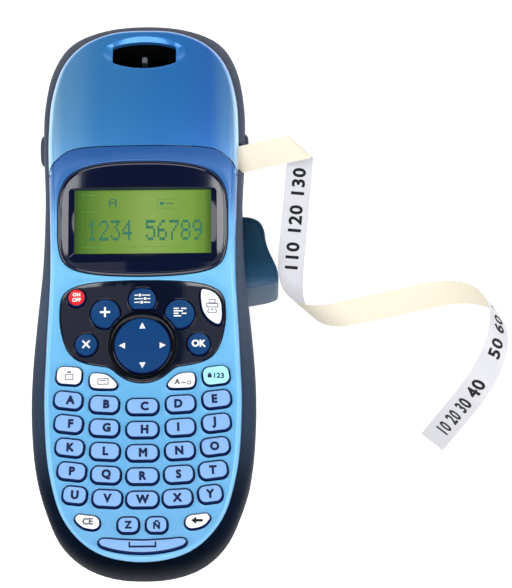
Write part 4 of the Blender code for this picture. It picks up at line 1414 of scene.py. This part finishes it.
# The cover's pins and the round clearance for them: x of their ends, and radius.
EAR_X = (29.9, 29.1)
EAR_RADIUS = 1.2
EAR_CLEARANCE = ((-32, -28.8), (28.8, 32))
EAR_CLEARANCE_RADIUS = 1.5
# Mouth radii of the openings in the front shell. The bezel's grows towards the cover.
BEZEL_MOUTH = (0.3, 0.9)
PANEL_SEAT_MOUTH = 0.25
KEY_MOUTH = 0.22
# The lever's rounded edges, for rounded_rings.
LEVER_FOOT = (4, 0.9, 0.9)
LEVER_CROWN = (7, 1.8, 1.6)


def build_cover():
    outer = ellipse(*FINGER_OVAL, 96)
    half, y, share = FINGER_WELL
    middle = FINGER_OVAL[1]
    inner = [Vector((max(-half, min(half, p.x)), y + (p.y - middle) * share)) for p in outer]
    well = [(inset(outer, reach), depth) for reach, depth in WELL_LIP]
    for k in range(1, 7):
        slope = [a.lerp(b, k / 6) for a, b in zip(outer, inner)]
        well.append((slope, WELL_LIP[-1][1] + WELL_SLOPE * k / 6))
    well += [(inner, WELL_FLOOR), (inset(inner, -1.2), WELL_FLOOR), (inset(outer, -0.6), PLATE)]
    cover = lid("cover_shell", [], [cover_blue_and_painted_sheen], well)
    carve(cover, [seam_cutter("below_seam", -1, COVER_BEVEL)])
    for side, word in ((-1, "left"), (1, "right")):
        ends = [side * x for x in EAR_X]
        ear = rod_x("cover_ear_" + word, ends, COVER_AXIS, EAR_RADIUS, [cover_blue_and_painted_sheen])
        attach(ear, "cassette_cover")
    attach(cover, "cassette_cover")
    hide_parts("cassette_cover")


def build_front(key_loops, bezel, panel):
    openings = [
        (inset(bezel, -FRAME_GAP), lambda y: blend(*BEZEL_MOUTH, (y - 31) / 6)),
        (inset(panel, -FRAME_GAP), PANEL_SEAT_MOUTH),
    ]
    openings += [(loop, KEY_MOUTH) for loop in key_loops]
    front = lid("front_face", openings, [shell_blue_and_painted_shading])
    tools = [seam_cutter("above_seam", 1, 0)]
    tools += [rod_x("ear_clearance", ends, COVER_AXIS, EAR_CLEARANCE_RADIUS) for ends in EAR_CLEARANCE]
    carve(front, tools)
    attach(front, "case")
    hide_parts("front_shell")


def build_lever():
    shape = Shape()
    rings = rounded_rings(shape, rounded(LEVER_OUTLINE, 96), LEVER_Z, LEVER_FOOT, LEVER_CROWN)
    shape.stack(rings)
    shape.face(rings[0])
    shape.sheet(rings[-1], [], lambda x, y: LEVER_Z[1], 2.5)
    lever = shape.make("lever_grip", [lever_teal_and_painted_light], LEVER_PIVOT)
    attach(lever, "cutter_lever")
    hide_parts("cutter_lever")


# --- Printed strip ---

# Places across the strip, as shares of its half width.
ACROSS = (1, 0.5, 0, -0.5, -1)
# What is printed on it, how far along each group's middle lies, and the letters' size,
# added weight and spacing.
STRIP_WORDS = (("10 20 30 40", 190.9), ("50 60 70 80", 150.5), ("90 100", 106.0), ("110 120 130", 46.5))
STRIP_TYPE = (6.0, 0.2, 1.12)


def bent(q, lift=0.0):
    """Where the flat strip's point q lies once the strip is bent."""
    along = math.cos(STRIP_RISE) * VIEW_RIGHT + math.sin(STRIP_RISE) * VIEW_UP
    across = math.cos(STRIP_RISE) * VIEW_UP - math.sin(STRIP_RISE) * VIEW_RIGHT
    across = math.cos(STRIP_LEAN) * across - math.sin(STRIP_LEAN) * VIEW_AHEAD
    base = Vector(STRIP_EXIT)
    spot = base + q.x * along + q.y * across + lift * along.cross(across)
    for start, turn, radius, sweep in STRIP_BENDS:
        ahead = Vector((math.cos(turn), math.sin(turn)))
        left = Vector((-math.sin(turn), math.cos(turn)))
        far = (q - Vector((start, 0))).dot(ahead)
        if far <= 0:
            break
        normal = along.cross(across)
        size = abs(radius)
        hand = math.copysign(1, radius)
        forward = ahead.x * along + ahead.y * across
        axis = left.x * along + left.y * across
        foot = q - far * ahead
        angle = min(far / size, sweep)
        spot = base + foot.x * along + foot.y * across
        spot += size * math.sin(angle) * forward + hand * size * (1 - math.cos(angle)) * normal
        onward = math.cos(angle) * forward + hand * math.sin(angle) * normal
        spot += max(0.0, far - size * sweep) * onward
        spot += lift * (math.cos(angle) * normal - hand * math.sin(angle) * forward)
        if far < size * sweep:
            break
        end = base + start * along + size * math.sin(sweep) * forward
        end += hand * size * (1 - math.cos(sweep)) * normal
        flat = Vector((start, 0)) + size * sweep * ahead
        along = ahead.x * onward + left.x * axis
        across = ahead.y * onward + left.y * axis
        base = end - flat.x * along - flat.y * across
    return spot


def strip_sections():
    """Places along the strip with the turn of the straight line across it."""
    found = []
    last, turn_then = 0.0, 0.0
    for start, turn, radius, sweep in STRIP_BENDS:
        length = abs(radius) * sweep / math.cos(turn)
        for k in range(16):
            share = k / 16
            found.append((last + (start - last) * share, turn_then + (turn - turn_then) * share))
        arc = max(18, int(sweep * 12))
        found += [(start + length * k / arc, turn) for k in range(arc)]
        last, turn_then = start + length, turn
    for k in range(17):
        share = k / 16
        found.append((last + (STRIP_LENGTH - last) * share, turn_then * (1 - share)))
    return found


def strip_rows():
    """Rows of points across the strip, from its start inside the case to its free end."""
    half = STRIP_WIDTH / 2
    start, leave = Vector(STRIP_START), Vector(STRIP_EXIT)
    outside = bent(Vector((0, half))) - bent(Vector((0, -half)))
    twist = math.atan2(-outside.y, outside.z)
    rows = []
    count = 25
    for k in range(count):
        x = start.x + k * (leave.x - start.x) / count
        share = max(0.0, (x - STRIP_TWIST_FROM) / (leave.x - STRIP_TWIST_FROM))
        share = share * share * (3 - 2 * share)
        middle = start.lerp(leave, share)
        middle.x = x
        a = twist * share
        arm = Vector((0, -math.sin(a), math.cos(a))) * half
        rows.append([middle + arm * t for t in ACROSS])
    for place, turn in strip_sections():
        rows.append([bent(Vector((place - t * half * math.tan(turn), t * half))) for t in ACROSS])
    return rows


def build_strip():
    rows = strip_rows()
    last = len(ACROSS) - 1
    shape = Shape()
    rings = []
    for i, row in enumerate(rows):
        before, after = rows[max(0, i - 1)], rows[min(len(rows) - 1, i + 1)]
        lifts = []
        for k in range(len(ACROSS)):
            across = row[max(0, k - 1)] - row[min(last, k + 1)]
            lifts.append((after[k] - before[k]).cross(across).normalized() * STRIP_HALF_THICK)
        front = [p + q for p, q in zip(row, lifts)]
        back = [p - q for p, q in zip(row, lifts)]
        rings.append(shape.ring(front + back[::-1]))
    around = 2 * len(ACROSS)
    for first, second in zip(rings, rings[1:]):
        for k in range(around):
            shape.brush = 0 if last <= k < around - 1 else 1
            shape.face((first[k], first[(k + 1) % around], second[(k + 1) % around], second[k]))
    shape.brush = 0
    shape.face(rings[0])
    shape.face(rings[-1])
    strip = shape.make("printed_strip", [strip_front, strip_back], sharp=60)
    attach(strip, "case")
    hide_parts("label_strip")

    # Black print on the front side, which is the strip's far side at the outlet.
    shape = Shape()
    for words, middle in STRIP_WORDS:

        def place(p, lift, middle=middle):
            return bent(Vector((middle - p.x, p.y - 0.1)), -(lift + 0.1))

        add_print(shape, text_print(words, *STRIP_TYPE), place, -0.02)
    ink = shape.make("strip_print", [ink_black])
    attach(ink, "case")


# --- Inside pieces: the part's own solids with finishes; the battery door takes the housing's painted shading ---

INSIDE_FINISHES = {
    "main_board": board_green,
    "print_head": head_ceramic,
    "feed_motor": motor_steel,
    "label_cassette": cassette_plastic,
    "battery_pack": cell_jacket,
    "cutter_blade": blade_steel,
    "platen_roller": platen_rubber,
    "drive_gear": gear_nylon,
    "tape_spool": tape_paper,
    "battery_door": housing_plastic_painted_shading,
}


def dress_inside():
    for node, finish in INSIDE_FINISHES.items():
        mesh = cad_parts[node].data
        mesh.materials.clear()
        mesh.materials.append(finish)


# --- Stage, in metres ---

# Level softboxes over the object: their two x, their two y, and their brightness.
SOFTBOX_Z = 0.85
SOFTBOXES = (
    ("left_box", (-0.52, -0.172), (0.18, 0.50), 4.9),
    ("right_box", (0.117, 0.50), (0.18, 0.50), 6.1),
    ("left_card", (-0.42, -0.065), (-0.06, 0.17), 0.42),
    ("right_card", (0.10, 0.42), (-0.06, 0.17), 0.42),
)
# Lights aimed at the object: place, aim, size and power.
AIMED_LIGHTS = (
    ("key_light", (0.0, -0.62, 0.95), (0.02, 0, 0.03), (1.0, 0.6), 6.9),
    ("front_card", (0.0, -1.05, 0.60), (0.0, 0.05, 0.03), (0.9, 0.4), 4.0),
    ("left_side", (-0.85, 0.0, 0.40), (0.0, 0, 0.03), (0.8, 0.5), 3.6),
    ("right_side", (0.90, 0.0, 0.40), (0.0, 0, 0.03), (0.8, 0.5), 4.0),
)
FLOOR_REACH = 3
FLOOR_Z = -0.0004
FLOOR_GLOW = 0.62
# What the camera looks at from 1 m away, and how far it is rolled.
CAMERA_AIM = (0.03585, 0.00126, 0.030)
CAMERA_ROLL = math.radians(-0.53)


def seen_plainly(tree):
    """A value of 1 for rays from the camera, off a glossy surface or through a clear one."""
    path = add_node(tree, "LightPath")
    found = path.outputs["Is Camera Ray"]
    for kind in ("Is Glossy Ray", "Is Transmission Ray"):
        found = maths(tree, "MAXIMUM", found, path.outputs[kind])
    return found


def build_world():
    world = bpy.data.worlds.new("studio")
    world.use_nodes = True
    tree = world.node_tree
    link = tree.links.new
    dim = tree.nodes["Background"]
    dim.inputs["Color"].default_value = (0.80, 0.86, 0.95, 1)
    dim.inputs["Strength"].default_value = 0.07
    white = add_node(tree, "Background", {"Color": (1, 1, 1, 1), "Strength": 1.0})
    # The white backdrop ends a little above the horizon, under a dark ceiling.
    split = add_node(tree, "SeparateXYZ")
    link(add_node(tree, "TexCoord").outputs["Generated"], split.inputs["Vector"])
    limits = {"From Min": 0.25, "From Max": 0.45, "To Min": 1.0, "To Max": 0.0}
    backdrop = add_node(tree, "MapRange", limits)
    link(split.outputs["Z"], backdrop.inputs["Value"])
    pick = add_node(tree, "MixShader")
    link(maths(tree, "MULTIPLY", seen_plainly(tree), backdrop.outputs["Result"]), pick.inputs["Fac"])
    link(dim.outputs["Background"], pick.inputs[1])
    link(white.outputs["Background"], pick.inputs[2])
    link(pick.outputs["Shader"], tree.nodes["World Output"].inputs["Surface"])
    bpy.context.scene.world = world


def build_floor():
    mesh = bpy.data.meshes.new("floor")
    reach = FLOOR_REACH
    corners = ((-reach, -reach), (reach, -reach), (reach, reach), (-reach, reach))
    mesh.from_pydata([(x, y, FLOOR_Z) for x, y in corners], [], [(0, 1, 2, 3)])
    paper = bpy.data.materials.new("floor_paper")
    paper.use_nodes = True
    tree = paper.node_tree
    link = tree.links.new
    shader = tree.nodes["Principled BSDF"]
    shader.inputs["Base Color"].default_value = (0.9, 0.9, 0.9, 1)
    shader.inputs["Roughness"].default_value = 0.9
    shader.inputs["Specular IOR Level"].default_value = 0.0
    # A lit sweep: the camera sees it nearly white, and shadows still show on it.
    glow = add_node(tree, "Emission")
    link(maths(tree, "MULTIPLY", seen_plainly(tree), FLOOR_GLOW), glow.inputs["Strength"])
    both = add_node(tree, "AddShader")
    link(shader.outputs["BSDF"], both.inputs[0])
    link(glow.outputs["Emission"], both.inputs[1])
    link(both.outputs["Shader"], tree.nodes["Material Output"].inputs["Surface"])
    mesh.materials.append(paper)
    floor = add_object("floor", mesh)


def area_light(name, spot, size, power):
    light = bpy.data.lights.new(name, "AREA")
    light.shape = "RECTANGLE"
    light.size, light.size_y = size
    light.energy = power
    obj = add_object(name, light)
    obj.location = spot
    return obj


def build_lights():
    for name, x, y, strength in SOFTBOXES:
        size = (x[1] - x[0], y[1] - y[0])
        spot = ((x[0] + x[1]) / 2, (y[0] + y[1]) / 2, SOFTBOX_Z)
        area_light(name, spot, size, math.pi * size[0] * size[1] * strength)
    for name, spot, aim, size, power in AIMED_LIGHTS:
        light = area_light(name, spot, size, power)
        light.rotation_euler = (Vector(aim) - Vector(spot)).to_track_quat("-Z", "Y").to_euler()


def build_camera():
    lens = bpy.data.cameras.new("camera")
    lens.lens = 191.02
    lens.sensor_width = 36.0
    lens.clip_start = 0.05
    lens.clip_end = 20.0
    camera = add_object("camera", lens)
    x_axis = math.cos(CAMERA_ROLL) * VIEW_RIGHT + math.sin(CAMERA_ROLL) * VIEW_UP
    y_axis = math.cos(CAMERA_ROLL) * VIEW_UP - math.sin(CAMERA_ROLL) * VIEW_RIGHT
    turn = Matrix((x_axis, y_axis, -VIEW_AHEAD)).transposed().to_4x4()
    camera.matrix_world = Matrix.Translation(Vector(CAMERA_AIM) - VIEW_AHEAD) @ turn
    bpy.context.scene.camera = camera


def build_stage():
    bpy.context.scene.view_settings.view_transform = "Standard"
    build_world()
    build_floor()
    build_lights()
    build_camera()


def main():
    shell_keys, panel_keys = key_openings()
    bezel = mirrored(BEZEL_OUTLINE, 128)
    panel = mirrored(PANEL_OUTLINE, 144)
    build_stage()
    build_housing()
    build_front(shell_keys.values(), bezel, panel)
    build_cover()
    build_bezel(bezel)
    build_lcd()
    build_panel(panel, panel_keys.values())
    build_keys({**shell_keys, **panel_keys})
    build_lever()
    build_strip()
    dress_inside()


main()
